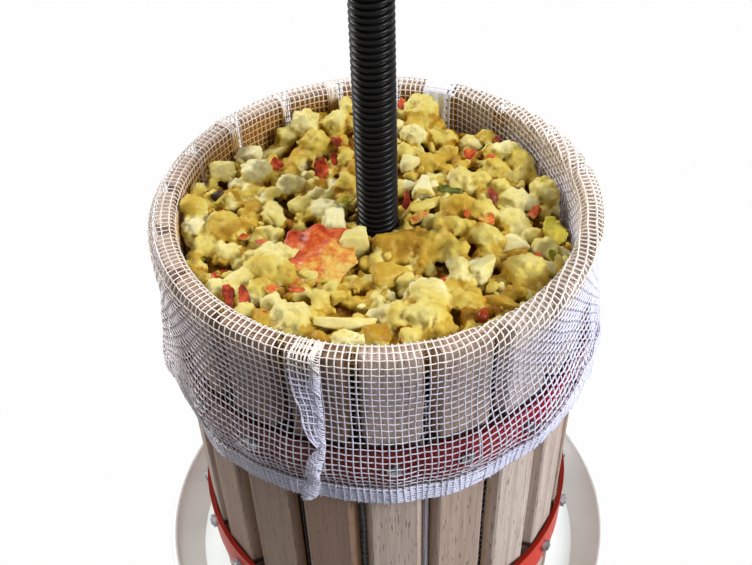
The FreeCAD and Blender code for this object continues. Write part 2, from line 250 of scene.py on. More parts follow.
def bumpFrom(tree, shader, height, distance, strength):
    bump = addNode(tree, "Bump", {"Height": height, "Distance": distance, "Strength": strength})
    feed(tree, shader, Normal=bump.outputs[0])


def cloudyFinish(
        name, stops, clouds, skin=None, depth=0, strength=0.3, rough=None, stretch=(1, 1, 1), **inputs):
    # colour runs along soft clouds; relief comes from them or from a finer skin, both (scale, detail)
    material, tree, shader = newMaterial(name, **inputs)
    place = scaled(tree, objectPlace(tree), stretch)
    cloud = noiseTexture(tree, place, *clouds)
    feed(tree, shader, Base_Color=addRamp(tree, cloud, stops))
    if rough:
        feed(tree, shader, Roughness=mapRange(tree, cloud, 0, 1, *rough))
    if depth:
        bumpFrom(tree, shader, noiseTexture(tree, place, *skin) if skin else cloud, depth, strength)
    return material


def hoopEdgeShade(tree, z, colour, dark, rising, falling, most):
    # painted shade: darkens a narrow band about each hoop's upper edge; its two slopes are in mm above that
    # edge
    for name in ("hoop_upper", "hoop_lower"):
        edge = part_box(name)[1].z
        start = mapRange(tree, z, edge + rising[0] * mm, edge + rising[1] * mm, 0.0, most)
        end = mapRange(tree, z, edge + falling[0] * mm, edge + falling[1] * mm)
        colour = blend(tree, calculate(tree, "MULTIPLY", start, end), colour, dark)
    return colour


def slatWood():
    # planed open-pored hardwood, dry: pale pink-grey with darker streaks and short pores along the grain
    material, tree, shader = newMaterial("planed slat wood", Roughness=0.62)
    place = objectPlace(tree)
    x, y, z = splitAxes(tree, place)
    # each plank is told apart by its angle round the basket, for its own grain and tone
    planks, offset = 20, 0.389
    angle = calculate(tree, "ARCTAN2", x, calculate(tree, "MULTIPLY", y, -1.0))
    index = calculate(tree, "FLOOR", calculate(tree, "MULTIPLY_ADD", angle, planks / math.tau, offset))
    plank = addNode(tree, "TexWhiteNoise", {"W": index}, noise_dimensions="1D")
    own = addNode(tree, "VectorMath", {0: place, 1: plank.outputs["Color"]}, operation="ADD").outputs[0]
    streaks = noiseTexture(tree, scaled(tree, own, (150, 150, 5)), 1.0, 5.0, Roughness=0.6, Distortion=0.4)
    fine = noiseTexture(tree, scaled(tree, own, (620, 620, 16)), 1.0, 3.0)
    pores = mapRange(tree, noiseTexture(tree, scaled(tree, own, (1050, 1050, 95)), 1.0, 1.0), 0.62, 0.72)
    body = addRamp(tree, streaks, [(0.28, "#B5A69E"), (0.45, "#CABCB4"), (0.6, "#D8CBC3"), (0.78, "#E2D8D1")])
    lines = addRamp(tree, fine, [(0.3, "#C4B6AE"), (0.7, "#FFFFFF")])
    grained = blend(tree, pores, blend(tree, 0.5, body, lines, "MULTIPLY"), "#8A756B")
    tone = addRamp(tree, plank.outputs["Value"], [(0.0, "#DCCCC0"), (0.5, "#F1E8E2"), (1.0, "#FFFDFB")])
    # the planks left of the front are darker: partly browner wood, partly painted shade on the side turned away
    # from the key light
    brownerAndShadedLeft = addRamp(tree, mapRange(tree, index, -planks / 2, planks / 2), [
        (0.0, "#F4F0EC"), (0.33, "#E9DFD6"), (0.425, "#CDB9A8"), (0.475, "#FFFFFF"), (1.0, "#FFFFFF"),
    ], "CONSTANT")
    dry = blend(tree, 1.0, blend(tree, 1.0, grained, tone, "MULTIPLY"), brownerAndShadedLeft, "MULTIPLY")
    # juice has soaked the inner faces ochre below their top edge; the paler tone on the right is painted light
    # on the lit inner wall
    inner = mapRange(tree, axisDistance(tree, x, y), 0.1235, 0.1185)
    low = mapRange(tree, z, rimZ - 0.0005, rimZ - 0.004, 0.3, 0.9)
    juice = blend(tree, mapRange(tree, x, 0.02, 0.08), "#B07A22", "#F4E0BC")
    soakedWithPaintedShading = blend(tree, 0.5, juice, dry, "MULTIPLY")
    whole = blend(tree, calculate(tree, "MULTIPLY", inner, low), dry, soakedWithPaintedShading)
    # painted shade: a dark line on the wood along each hoop's upper edge stands for the shadowed gap between
    # the hoop and the slats
    feed(tree, shader, Base_Color=hoopEdgeShade(tree, z, whole, "#1C130E", (-4.0, -2.0), (3.4, 1.8), 0.94))
    bumpFrom(tree, shader, calculate(tree, "SUBTRACT", fine, pores), 0.00025, 0.5)
    return material


def headWood():
    # oiled beech: warm tan with short dark flecks
    material, tree, shader = newMaterial("oiled beech", Roughness=0.48)
    place = objectPlace(tree)
    streaks = noiseTexture(tree, scaled(tree, place, (9, 140, 140)), 1.0, 5.0, Distortion=0.5)
    body = addRamp(tree, streaks, [(0.3, "#B38652"), (0.5, "#C99E6B"), (0.72, "#DAB583")])
    flecks = noiseTexture(tree, scaled(tree, place, (160, 900, 900)), 1.0, 1.0)
    feed(tree, shader, Base_Color=blend(tree, mapRange(tree, flecks, 0.6, 0.7), body, "#8E6236"))
    bumpFrom(tree, shader, flecks, 0.0002, 0.4)
    return material


def redPaint():
    # red stove paint on flat bar, faintly rippled; high up it is darkened, partly juice-soaked paint and partly
    # painted shade under the net; a painted shade runs along each hoop's upper edge
    material, tree, shader = newMaterial(
        "glossy red paint", Roughness=0.25, Coat_Roughness=0.08, Specular_IOR_Level=0.08)
    place = objectPlace(tree)
    x, _, z = splitAxes(tree, place)
    clouds = noiseTexture(tree, place, 22.0, 4.0)
    body = addRamp(tree, clouds, [(0.3, "#D4240A"), (0.55, "#E02C10"), (0.8, "#EC3C1A")])
    # only the upper hoop is darkened, partly by juice and partly as painted shade under the net: nearly black
    # in front, with painted light making it purple and lighter on the right
    wetAndShaded = mapRange(tree, z, 0.3, 0.37, 0.0, 0.85)
    soakedWithPaintedShading = blend(tree, mapRange(tree, x, 0.02, 0.09), "#50050E", "#A01238")
    painted = blend(tree, wetAndShaded, body, soakedWithPaintedShading)
    # painted shade: the band along each hoop's upper edge is darkened
    feed(
        tree, shader,
        Coat_Weight=mapRange(tree, wetAndShaded, 0.0, 0.85, 0.06, 0.04),
        Base_Color=hoopEdgeShade(tree, z, painted, "#2A0806", (-0.8, -0.2), (2.0, 1.0), 0.75))
    bumpFrom(tree, shader, noiseTexture(tree, place, 420.0, 1.0), 0.0001, 0.25)
    return material


def turnedBronze():
    # turned bearing bronze: warm metal with fine turning rings
    material, tree, shader = newMaterial("turned bronze", Metallic=1.0, Roughness=0.32)
    waves = {"Vector": objectPlace(tree), "Scale": 180.0, "Distortion": 0.3}
    rings = addNode(tree, "TexWave", waves, wave_type="RINGS", rings_direction="Z").outputs["Fac"]
    feed(tree, shader, Base_Color=addRamp(tree, rings, [(0.0, "#A97C3E"), (1.0, "#C79A58")]))
    bumpFrom(tree, shader, rings, 0.0001, 0.3)
    return material


def netThread(name, dim, bright, wetness):
    # woven nylon net: round threads with a soft sheen, golden where juice ran in
    material, tree, shader = newMaterial(
        name, Roughness=0.5, Sheen_Weight=0.15,
        Subsurface_Weight=0.12, Subsurface_Radius=(1.0, 1.0, 1.0), Subsurface_Scale=0.0008)
    place = objectPlace(tree)
    x, y, z = splitAxes(tree, place)
    body = addRamp(tree, noiseTexture(tree, place, 35.0, 4.0), [(0.3, dim), (0.7, bright)])
    # painted light: whiter on the left where little light falls, bluer on the right under the cool key light
    # (only where wetness is set), creamy along the rim as warm light thrown up by the fruit
    body = blend(tree, mapRange(tree, x, -0.04, -0.12), body, "#F4ECF0")
    body = blend(tree, mapRange(tree, x, 0.045, 0.1, 0.0, 1.0 if wetness else 0.0), body, "#E0E0F4")
    body = blend(tree, mapRange(tree, z, rimZ - 0.016, rimZ - 0.002), body, "#EBE2DA")
    # soaked with juice inside the rim; less on the right is painted light on the lit inner wall, and brown
    # where it lies deep is partly juice, partly painted shade inside the basket
    inside = mapRange(tree, axisDistance(tree, x, y), 0.1205, 0.117)
    low = mapRange(tree, z, rimZ - 0.0005, rimZ - 0.009)
    side = mapRange(tree, x, -0.02, 0.07, wetness, wetness * 0.12)
    soakedWithPaintedShading = calculate(tree, "MULTIPLY", calculate(tree, "MULTIPLY", inside, low), side)
    juice = blend(tree, mapRange(tree, z, rimZ - 0.03, rimZ - 0.06), "#CFA656", "#4A3C30")
    feed(tree, shader, Base_Color=blend(tree, soakedWithPaintedShading, body, juice))
    bumpFrom(tree, shader, noiseTexture(tree, place, 2600.0, 1.0), 0.0001, 0.4)
    return material


def appleFlesh(name, grainDepth, roughness):
    # crushed apple flesh: wet and slightly see-through, cream where fresh, ochre to brown with age
    material, tree, shader = newMaterial(
        name, Roughness=roughness, Coat_Weight=0.1, Coat_Roughness=0.12, Specular_IOR_Level=0.1,
        Subsurface_Weight=0.5, Subsurface_Radius=(1.0, 0.75, 0.3), Subsurface_Scale=0.0024)
    place = objectPlace(tree)
    patches = noiseTexture(tree, place, 40.0, 6.0, Roughness=0.62)
    shift = calculate(tree, "MULTIPLY_ADD", patches, 1.3, -0.67)
    age = calculate(tree, "ADD", readValue(tree, "tint"), shift)
    body = addRamp(tree, age, [
        (0.0, "#E2DAA8"), (0.2, "#D8CC86"), (0.42, "#CEBC60"),
        (0.6, "#C0A23E"), (0.78, "#AC8424"), (1.0, "#82540C"),
    ])
    # painted shade: the hollows between the lumps are darkened to brown
    hollowShade = readValue(tree, "hollowShade")
    body = blend(tree, mapRange(tree, hollowShade, 0.14, 0.6, 0.0, 0.9), body, "#A87418")
    body = blend(tree, mapRange(tree, hollowShade, 0.55, 1.0, 0.0, 0.92), body, "#6E3804")
    feed(tree, shader, Base_Color=body)
    bumpFrom(tree, shader, noiseTexture(tree, place, 480.0, 5.0, Roughness=0.65), grainDepth, 0.8)
    return material


def appleSkin(name, stops, streaks):
    # waxed apple skin: glossy and wet, its colour follows the "tone" attribute in fine streaks and blotches
    material, tree, shader = newMaterial(
        name, Roughness=0.4, Coat_Weight=0.16, Coat_Roughness=0.07, Specular_IOR_Level=0.12,
        Subsurface_Weight=0.1, Subsurface_Radius=(1.0, 0.5, 0.2), Subsurface_Scale=0.002)
    place = objectPlace(tree)
    streak = noiseTexture(tree, scaled(tree, place, streaks, (0, 0, 0.6)), 1.0, 5.0, Roughness=0.7)
    blotch = noiseTexture(tree, place, 170.0, 4.0, Roughness=0.65)
    shift = calculate(tree, "MULTIPLY_ADD", streak, 0.6, -0.3)
    shift = calculate(tree, "MULTIPLY_ADD", blotch, 1.3, shift)
    shift = calculate(tree, "ADD", shift, -0.65)
    tone = calculate(tree, "ADD", readValue(tree, "tone"), shift)
    feed(tree, shader, Base_Color=addRamp(tree, tone, stops))
    bumpFrom(tree, shader, noiseTexture(tree, place, 300.0, 4.0), 0.0014, 0.6)
    return material


finishes = {
    "slatWood": slatWood(),
    "headWood": headWood(),
    "redPaint": redPaint(),
    # bright zinc plate on small fasteners: pale blue-grey metal, cloudy in places
    "zinc": cloudyFinish(
        "bright zinc plate", [(0.3, "#6E7274"), (0.6, "#94989A"), (0.8, "#B5B7B6")], (260.0, 3.0),
        rough=(0.22, 0.42), Metallic=1.0),
    # vitreous enamel on pressed sheet: white, hard gloss, very slight waviness
    "enamel": cloudyFinish(
        "white enamel", [(0.3, "#F2FAFA"), (0.7, "#F8FFFF")], (9.0, 3.0), (28.0, 1.0), 0.0006, 0.2,
        Roughness=0.18, Coat_Weight=1.0, Coat_Roughness=0.07, Specular_IOR_Level=0.8),
    # oiled black oxide on rolled thread: near black, a faint oily glint along each crest
    "blackOxide": cloudyFinish(
        "oiled black oxide steel", [(0.3, "#08080A"), (0.6, "#0C0C0E"), (0.85, "#141416")], (130.0, 5.0),
        (900.0, 2.0), 0.0001, rough=(0.24, 0.42),
        Coat_Weight=0.03, Coat_Roughness=0.2, Specular_IOR_Level=0.15),
    "bronze": turnedBronze(),
    # matt rubber, grey with dust
    "rubber": cloudyFinish(
        "matt black rubber", [(0.4, "#171716"), (0.8, "#2E2D2B")], (90.0, 4.0), depth=0.0002, Roughness=0.75),
    "net": netThread("white woven net", "#C2BFCD", "#D2D0DC", 0.92),
    "hem": netThread("doubled woven net", "#CFCFE6", "#DDDDF0", 0.0),
    "seam": netThread("twisted net edge", "#DAD8F0", "#E9E7FA", 0.0),
    # plain woven selvedge: dense white cloth with fine lines along it
    "tape": cloudyFinish(
        "dense white selvedge", [(0.35, "#C9C9D6"), (0.6, "#E6E6F0")], (1.0, 2.0), depth=0.0002, strength=0.5,
        stretch=(1400, 1400, 300), Roughness=0.7, Sheen_Weight=0.2),
    "flesh": appleFlesh("crushed apple mash", 0.0006, 0.46),
    "chunk": appleFlesh("cut apple flesh", 0.0005, 0.42),
    # browned pulp pressed against the bag, wet, with lighter flecks; kept near black as painted shade for the
    # fruit deep in the basket
    "soakedWithPaintedShading": cloudyFinish(
        "browned apple pulp in painted shade", [(0.35, "#241A0E"), (0.55, "#3E2E17"), (0.75, "#6E5428")], (120.0, 4.0),
        depth=0.001, strength=0.5, Roughness=0.45),
    "redSkin": appleSkin("red apple skin", [
        (0.0, "#D8C272"), (0.25, "#D4A850"), (0.45, "#CC7C38"),
        (0.62, "#C05226"), (0.82, "#A03416"), (1.0, "#661C08"),
    ], (210, 300, 210)),
    "greenSkin": appleSkin("green apple skin", [
        (0.0, "#DCCB4C"), (0.25, "#C9BE3C"), (0.5, "#A3A42E"), (0.75, "#6E7424"), (1.0, "#3A4020"),
    ], (150, 150, 60)),
}
# painted plate, painted casting and moulded plastic differ in gloss and in how coarse their skin is
for key, name, roughness, skinScale, skinDepth in (
        ("platePaint", "satin black plate paint", 0.42, 700.0, 0.0001),
        ("castIron", "black painted casting", 0.5, 260.0, 0.0005),
        ("grip", "moulded black plastic", 0.45, 1500.0, 0.0001)):
    finishes[key] = cloudyFinish(
        name, [(0.3, "#151517"), (0.75, "#26272A")], (30.0, 4.0),
        (skinScale, 2.0), skinDepth, 0.6, Roughness=roughness)
# small hard parts of the fruit: the pip's lacquer-like shell and the stem's dry bark
for key, name, grain, stops in (
        ("pip", "lacquered pip shell", 300.0, [(0.3, "#4A1604"), (0.6, "#8A3208"), (0.8, "#B04C14")]),
        ("stem", "dry stem bark", 400.0, [(0.3, "#2A211A"), (0.6, "#4A3A2C"), (0.8, "#6A5A48")])):
    finishes[key] = cloudyFinish(
        name, stops, (grain, 3.0), depth=0.0003, strength=0.4,
        Roughness=0.25, Coat_Weight=0.06, Coat_Roughness=0.1, Specular_IOR_Level=0.12)

nodeFinish = {  # by the start of the node's name, the longest that fits
    "slat": "slatWood",
    "press_board": "headWood",
    "block": "headWood",
    "hoop_upper": "redPaint",
    "hoop_lower": "redPaint",
    "leg": "redPaint",
    "hoop_bolts": "zinc",
    "hoop_nuts": "zinc",
    "base": "zinc",
    "board": "zinc",
    "keeper_screws": "zinc",
    "arm_screws": "zinc",
    "juice": "enamel",
    "spindle": "blackOxide",
    "arm": "blackOxide",
    "hub": "platePaint",
    "yoke": "platePaint",
    "keeper": "platePaint",
    "press_nut": "castIron",
    "thrust": "bronze",
    "grip": "grip",
    "tray_seal": "rubber",
}
for name, node in nodes.items():
    keys = [key for key in nodeFinish if name.startswith(key)]
    if keys:
        node.data.materials.clear()
        node.data.materials.append(finishes[nodeFinish[max(keys, key=len)]])
print("finishes on", len(nodes), "nodes")


# mesh helpers


def newPiece(name, bm, finish, smooth=True):
    mesh = bpy.data.meshes.new(name)
    bm.to_mesh(mesh)
    bm.free()
    for polygon in mesh.polygons:
        polygon.use_smooth = smooth
    piece = bpy.data.objects.new(name, mesh)
    bpy.context.collection.objects.link(piece)
    mesh.materials.append(finishes[finish])
    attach(piece, "stand")
    return piece


def applyModifiers(piece):
    # the evaluated mesh takes the place of the piece's own
    shown = piece.evaluated_get(bpy.context.evaluated_depsgraph_get())
    mesh = bpy.data.meshes.new_from_object(shown)
    piece.modifiers.clear()
    piece.data = mesh


def storeValues(piece, values):
    # one number a point for each name, for the materials to read
    for name, numbers in values.items():
        layer = piece.data.attributes.new(name, "FLOAT", "POINT")
        layer.data.foreach_set("value", numbers)


def placeIn(bm, place):
    # from a lump's own millimetres to its place in metres
    bmesh.ops.transform(bm, matrix=Matrix.Scale(mm, 4) @ Matrix.Translation(place), verts=bm.verts)
    return bm


def fuse(pile, bm):
    mesh = bpy.data.meshes.new("part")
    bm.to_mesh(mesh)
    bm.free()
    pile.from_mesh(mesh)
    bpy.data.meshes.remove(mesh)


def smoothed(bm, rounds):
    for _ in range(rounds):
        bmesh.ops.smooth_vert(bm, verts=bm.verts, factor=0.5, use_axis_x=True, use_axis_y=True, use_axis_z=True)


def randomTurn(rng):
    turns = [Matrix.Rotation(rng.uniform(0, math.tau), 4, axis) for axis in "ZXY"]
    return turns[0] @ turns[1] @ turns[2]


def smoothStep(low, high, value):
    t = min(1.0, max(0.0, (value - low) / (high - low)))
    return t * t * (3 - 2 * t)


def bell(offset, width):
    return math.exp(-(offset / width) ** 2)


def turnGap(angle, other):
    return (angle - other + 180) % 360 - 180


def between(points, value):
    # straight lines through (value, result) points
    if value <= points[0][0]:
        return points[0][1]
    for (a, fa), (b, fb) in zip(points, points[1:]):
        if value <= b:
            return fa + (fb - fa) * (value - a) / (b - a)
    return points[-1][1]


# spindle: one turn of the thread's profile, spun with its lead and stacked

spindleShape = {
    "lead": 4.0 * mm,
    "steps": 40,
    "profile": [  # radius and height within one turn
        (9.9, 0.0), (10.25, 0.4), (11.15, 0.72), (11.75, 1.12), (12.0, 1.65),
        (12.0, 2.35), (11.75, 2.88), (11.15, 3.28), (10.25, 3.6), (9.9, 4.0),
    ],
    "weld": 0.02 * mm,
    "trim": 0.2 * mm,  # both ends are cut flat this far inside the solid's
}


def makeSpindle():
    low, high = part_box("spindle")
    lead, steps, weld, trim = [spindleShape[key] for key in ("lead", "steps", "weld", "trim")]
    bm = bmesh.new()
    line = [bm.verts.new((r * mm, 0, low.z - lead + z * mm)) for r, z in spindleShape["profile"]]
    edges = [bm.edges.new(pair) for pair in zip(line, line[1:])]
    bmesh.ops.spin(
        bm, geom=line + edges, angle=math.tau, steps=steps, axis=(0, 0, 1), cent=(0, 0, 0),
        dvec=(0, 0, lead / steps), use_merge=False)
    piece = newPiece("spindleThread", bm, "blackOxide")
    turns = piece.modifiers.new("turns", "ARRAY")
    turns.use_relative_offset = False
    turns.use_constant_offset = True
    turns.constant_offset_displace = (0, 0, lead)
    turns.count = int((high.z - low.z) / lead) + 2
    turns.use_merge_vertices = True
    turns.merge_threshold = weld
    applyModifiers(piece)
    bm = bmesh.new()
    bm.from_mesh(piece.data)
    bmesh.ops.remove_doubles(bm, verts=bm.verts, dist=weld)
    for z, up in ((high.z - trim, 1), (low.z + trim, -1)):
        geometry = bm.verts[:] + bm.edges[:] + bm.faces[:]
        cut = bmesh.ops.bisect_plane(
            bm, geom=geometry, plane_co=(0, 0, z), plane_no=(0, 0, up), clear_outer=True)
        border = [e for e in cut["geom_cut"] if isinstance(e, bmesh.types.BMEdge)]
        bmesh.ops.holes_fill(bm, edges=border, sides=0)
    bmesh.ops.recalc_face_normals(bm, faces=bm.faces)
    bm.to_mesh(piece.data)
    bm.free()
    for polygon in piece.data.polygons:
        polygon.use_smooth = abs(polygon.normal.z) < 0.98
    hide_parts("spindle")
    print("spindle turned:", len(piece.data.polygons), "faces")


makeSpindle()


# press bag: a woven net that lines the basket, turns over its rim and hangs outside

bag = {  # lengths and heights in mm, angles in degrees from the front, counter-clockwise from above
    "columns": 224,
    "rowPitch": 4.4,
    "thread": 0.85,
    "profile": [  # radius and height above the rim, from the rim's inner edge outwards and down
        (116.5, -1.6), (116.9, 0.4), (118.2, 1.2), (120.0, 1.35), (123.4, 1.4), (126.6, 1.3),
        (128.4, 0.7), (129.3, -0.6), (129.8, -3.0), (129.9, -10.0), (129.9, -22.0), (129.7, -35.0),
        (130.2, -42.0), (131.0, -50.0), (132.2, -58.0), (133.6, -66.0), (135.0, -76.0), (135.8, -85.0),
        (135.5, -92.0), (134.2, -100.0), (133.2, -108.0), (132.4, -116.0), (131.4, -130.0),
    ],
    "hemLow": [  # lower edge of the skirt below the rim
        (-180, 104), (-135, 98), (-90, 92), (-66, 88), (-61, 91), (-57.5, 108), (-54, 124), (-43, 119.5),
        (-33, 117.5), (-21, 116), (-11, 114.5), (3, 114.8), (13, 115.7), (23, 114), (35, 108), (43.5, 101.5),
        (50, 97), (57, 92), (75, 95), (135, 101), (180, 104),
    ],
    "tuck": [  # how far the hem draws in
        (-180, 1.0), (-80, 1.0), (-45, 2.0), (-28, 3.2), (26, 3.2), (36, 1.8), (52, 0.0), (180, 1.0),
    ],
    "rimPush": [  # how much further out the net lies just below the rim
        (-180, 0.4), (-120, 1.0), (-85, 2.1), (-65, 1.8), (-45, 0.6), (-20, 0.0), (10, 0.2), (25, 1.0),
        (45, 0.6), (58, -0.8), (70, -1.9), (88, -2.2), (110, -1.4), (140, -0.2), (180, 0.4),
    ],
    "dents": [  # single folds: angle, its spread, height, its spread, mm outwards
        (-76, 14, -50, 12, 1.4), (21.5, 2.6, -66, 13, 1.6), (26.5, 3.0, -50, 16, -1.0),
        (-32, 3.5, -88, 10, 0.8), (-26, 3.0, -60, 25, -0.8), (46, 6.0, -72, 26, 0.8),
    ],
    "leans": [  # where the skirt's columns lean: angle, its spread, degrees sideways
        (-24, 9, -2.0), (-64, 22, 1.6), (120, 30, 2.0), (-140, 26, -2.4),
    ],
    "rise": [  # how far the rows climb on the right
        (16, 0.0), (24, 3.6), (28, 7.4), (44, 21.0), (52, 27.0), (75, 37.0), (97, 38.0), (152, 0.0),
    ],
    "climb": [  # share of that rise along the cloth, from inside the rim to the hem
        (-70, 0.0), (-24, 0.8), (-8, 0.9), (30, 1.0), (75, 0.8), (105, 0.3), (114.7, 0.0),
    ],
    "skirtRun": 114.7,
    "skirtRows": 25,
    "hemHeight": 15.0,
    "liner": 116.3,
    "linerFloor": -322.5,
    "linerRows": 16,
    "lowerRows": 42,
    "gapBulge": [  # where the fruit pushes the liner into a gap: angle, mm outwards, its spread
        (11, 4.6, 0.95), (-7, 1.2, 0.8), (29, 1.2, 0.8), (47, 1.0, 0.8),
    ],
    "gapStrip": (10.3, 0.32, 7),  # closer columns in the first of these: angle, step, how many
    "dartColumns": [(22.0, 17), (23.2, 16)],  # angle and first row
    "dartBeside": 125,  # the column whose rows these follow
}
boltAngles = [2 + 18 * k for k in range(-10, 10)]
netAngles = [-180 + 360 * (k + 0.5) / bag["columns"] for k in range(bag["columns"])]
profileSteps = [0.0]
for (ra, za), (rb, zb) in zip(bag["profile"], bag["profile"][1:]):
    profileSteps.append(profileSteps[-1] + math.hypot(rb - ra, zb - za))


def acrossRim(along):
    # radius and height of the cloth, a length outwards from the rim's inner edge
    if along <= 0:
        return bag["liner"], bag["profile"][0][1] + along
    radii = [(s, p[0]) for s, p in zip(profileSteps, bag["profile"])]
    heights = [(s, p[1]) for s, p in zip(profileSteps, bag["profile"])]
    return between(radii, along), between(heights, along)


def skirtLength(angle):
    # length of cloth from the rim's inner edge to the hem
    low = -between(bag["hemLow"], angle)
    for s, (_, z) in zip(profileSteps, bag["profile"]):
        if z <= low:
            return s + (z - low)
    return profileSteps[-1]


def foldOut(angle, height):
    # how far folds and bolts push the skirt outwards, in mm
    a = math.radians(angle)
    down = smoothStep(0.0, 60.0, -height)
    belowRim = smoothStep(0.5, 4.0, -height) * (1 - 0.9 * smoothStep(14, 42, -height))
    atHem = smoothStep(76, 101, -height)
    out = between(bag["rimPush"], angle) * belowRim - between(bag["tuck"], angle) * atHem
    soft = 0.4 * math.sin(9 * a + 0.6) + 0.45 * math.sin(16 * a + 2.1) + 0.35 * math.sin(29 * a + 0.3)
    out += soft * down
    # the upper hoop's bolts press through, and the cloth sinks in beside them
    for bolt in boltAngles:
        gap = turnGap(angle, bolt)
        if abs(gap) < 9:
            out += (1.1 - soft * down * 0.5) * bell(gap, 2.6) * bell(height + 83.5, 9)
            out -= 0.5 * bell(abs(gap) - 6, 2.5) * bell(height + 85, 13)
    for place, wide, z, tall, amount in bag["dents"]:
        out += amount * bell(turnGap(angle, place), wide) * bell(height - z, tall)
    return out


def slant(angle, height):
    # degrees by which the net's columns lean sideways in the skirt
    down = smoothStep(22.0, 82.0, -height)
    outer = 1 - smoothStep(66, 100, angle)
    lean = down * outer * (3.0 * smoothStep(20.8, 24.4, angle) + 5.0 * smoothStep(32, 60, angle))
    # columns open to both sides of the dart at the right of the front
    lean -= 0.3 * (angle - 21.3) * bell(angle - 21.3, 4) * bell(height + 62, 16)
    for place, wide, amount in bag["leans"]:
        lean += amount * down * bell(angle - place, wide)
    return lean


def bagPoint(angle, along, out=0.0):
    # a point of the cloth in metres; along runs outwards from the rim's inner edge
    radius, height = acrossRim(along)
    a = math.radians(angle)
    turn = angle + 0.55 * noise.noise(Vector((a * 6, along * 0.03, 3.7)))
    if along > 0:
        turn += slant(angle, height)
        radius += foldOut(turn, height) * smoothStep(9, 16, along)
    else:
        radius -= 0.5 * abs(noise.noise(Vector((a * 9, along * 0.02, 9.1))))
        for gap, reach, wide in bag["gapBulge"]:
            radius += reach * bell(turnGap(turn, gap), wide) * smoothStep(-20, -50, along)
    height += 0.5 * noise.noise(Vector((a * 8, along * 0.05, 7.3)))
    radius += out
    a = math.radians(turn)
    return Vector((radius * math.sin(a), -radius * math.cos(a), rimZ / mm + height)) * mm


def weave(name, columnLines, rowLines, width, closed=False, finish="net"):
    # threads as round curves through their crossings, made one mesh
    data = bpy.data.curves.new(name, "CURVE")
    data.dimensions = "3D"
    data.bevel_depth = width * mm / 2
    data.bevel_resolution = 0
    data.use_fill_caps = True
    for points, ring in [(p, False) for p in columnLines] + [(p, closed) for p in rowLines]:
        line = data.splines.new("POLY")
        line.points.add(len(points) - 1)
        for spot, place in zip(line.points, points):
            spot.co = (*place, 1)
            # thinner on the left and thicker on the right
            spot.radius = 1 - 0.25 * smoothStep(-0.07, -0.12, place.x) + 0.3 * smoothStep(0.04, 0.1, place.x)
        line.use_cyclic_u = ring
    curve = bpy.data.objects.new(name + "Lines", data)
    bpy.context.collection.objects.link(curve)
    shown = curve.evaluated_get(bpy.context.evaluated_depsgraph_get())
    mesh = bpy.data.meshes.new_from_object(shown)
    bm = bmesh.new()
    bm.from_mesh(mesh)
    bpy.data.objects.remove(curve)
    bpy.data.meshes.remove(mesh)
    bmesh.ops.remove_doubles(bm, verts=bm.verts, dist=0.01 * mm)  # closes the caps
    return newPiece(name, bm, finish)


def overUnder(column, row):
    return 0.22 if (column + row) % 2 else -0.22


skirtEnds = [skirtLength(a + slant(a, -100)) - bag["hemHeight"] for a in netAngles]


def rowLevel(column, row):
    # how far along the cloth a row crosses a column
    rise = between(bag["rise"], netAngles[column])
    if row <= 0:
        level = row * bag["rowPitch"]
        return level - rise * between(bag["climb"], level)
    run = bag["skirtRun"]
    level = row / bag["skirtRows"] * run
    return level - rise * between(bag["climb"], level) + (skirtEnds[column] - run) * (level / run) ** 3


def netTop():
    # the part of the bag that shows: skirt, rim and the upper liner
    rows = range(-bag["linerRows"], bag["skirtRows"] + 1)
    columnLines = []
    for k, angle in enumerate(netAngles):
        points = []
        for row in rows:
            points.append(bagPoint(angle, rowLevel(k, row), overUnder(k, row)))
            # points between the rows too, where the cloth bends over the rim
            if -3 <= row <= 5 or (row == 6 and 44 < angle < 120):
                points.append(bagPoint(angle, (rowLevel(k, row) + rowLevel(k, row + 1)) / 2))
        columnLines.append(points)
    # two more columns come out below the dart at the right of the front
    for angle, first in bag["dartColumns"]:
        lower = range(first, bag["skirtRows"] + 1)
        columnLines.append([bagPoint(angle, rowLevel(bag["dartBeside"], row), 0.3) for row in lower])
    rowLines = []
    for row in rows:
        rowLines.append([bagPoint(a, rowLevel(k, row), -overUnder(k, row)) for k, a in enumerate(netAngles)])
    return weave("bagNet", columnLines, rowLines, bag["thread"], closed=True)


hem = {
    "thread": 1.05,
    "layers": [  # columns to the side, mm outwards, columns of lean, mm of start
        (0.0, 1.1, 0.0, -1.0), (0.2, 0.5, 1.3, 1.5), (0.8, -0.1, -1.2, 3.0),
    ],
    "rows": [0.0, 2.2, 3.6, 4.8, 5.8, 6.8, 7.8, 8.8, 9.8, 10.8, 11.8, 12.8, 13.6, 14.4],
}


def netHem():
    # the net is turned up on itself, so two layers cross above a frayed lower edge
    rng = random.Random(11)
    step = netAngles[1] - netAngles[0]
    columnLines = []
    for angle, start in zip(netAngles, skirtEnds):
        for side, out, drift, top in hem["layers"]:
            lean = drift + rng.uniform(-0.3, 0.3)
            reach = bag["hemHeight"] + rng.uniform(-0.6, 0.7)
            columnLines.append([
                bagPoint(
                    angle + (side + lean * t) * step, start + top + (reach - top) * t,
                    out + rng.uniform(-0.15, 0.15))
                for t in (0, 0.35, 0.7, 1.0)])
    rowLines = []
    for n, down in enumerate(hem["rows"]):
        out = 1.0 - 0.5 * (n % 2)
        rowLines.append([
            bagPoint(angle, start + down + rng.uniform(-0.25, 0.25), out + rng.uniform(-0.15, 0.15))
            for angle, start in zip(netAngles, skirtEnds)])
    return weave("bagHem", columnLines, rowLines, hem["thread"], closed=True, finish="hem")


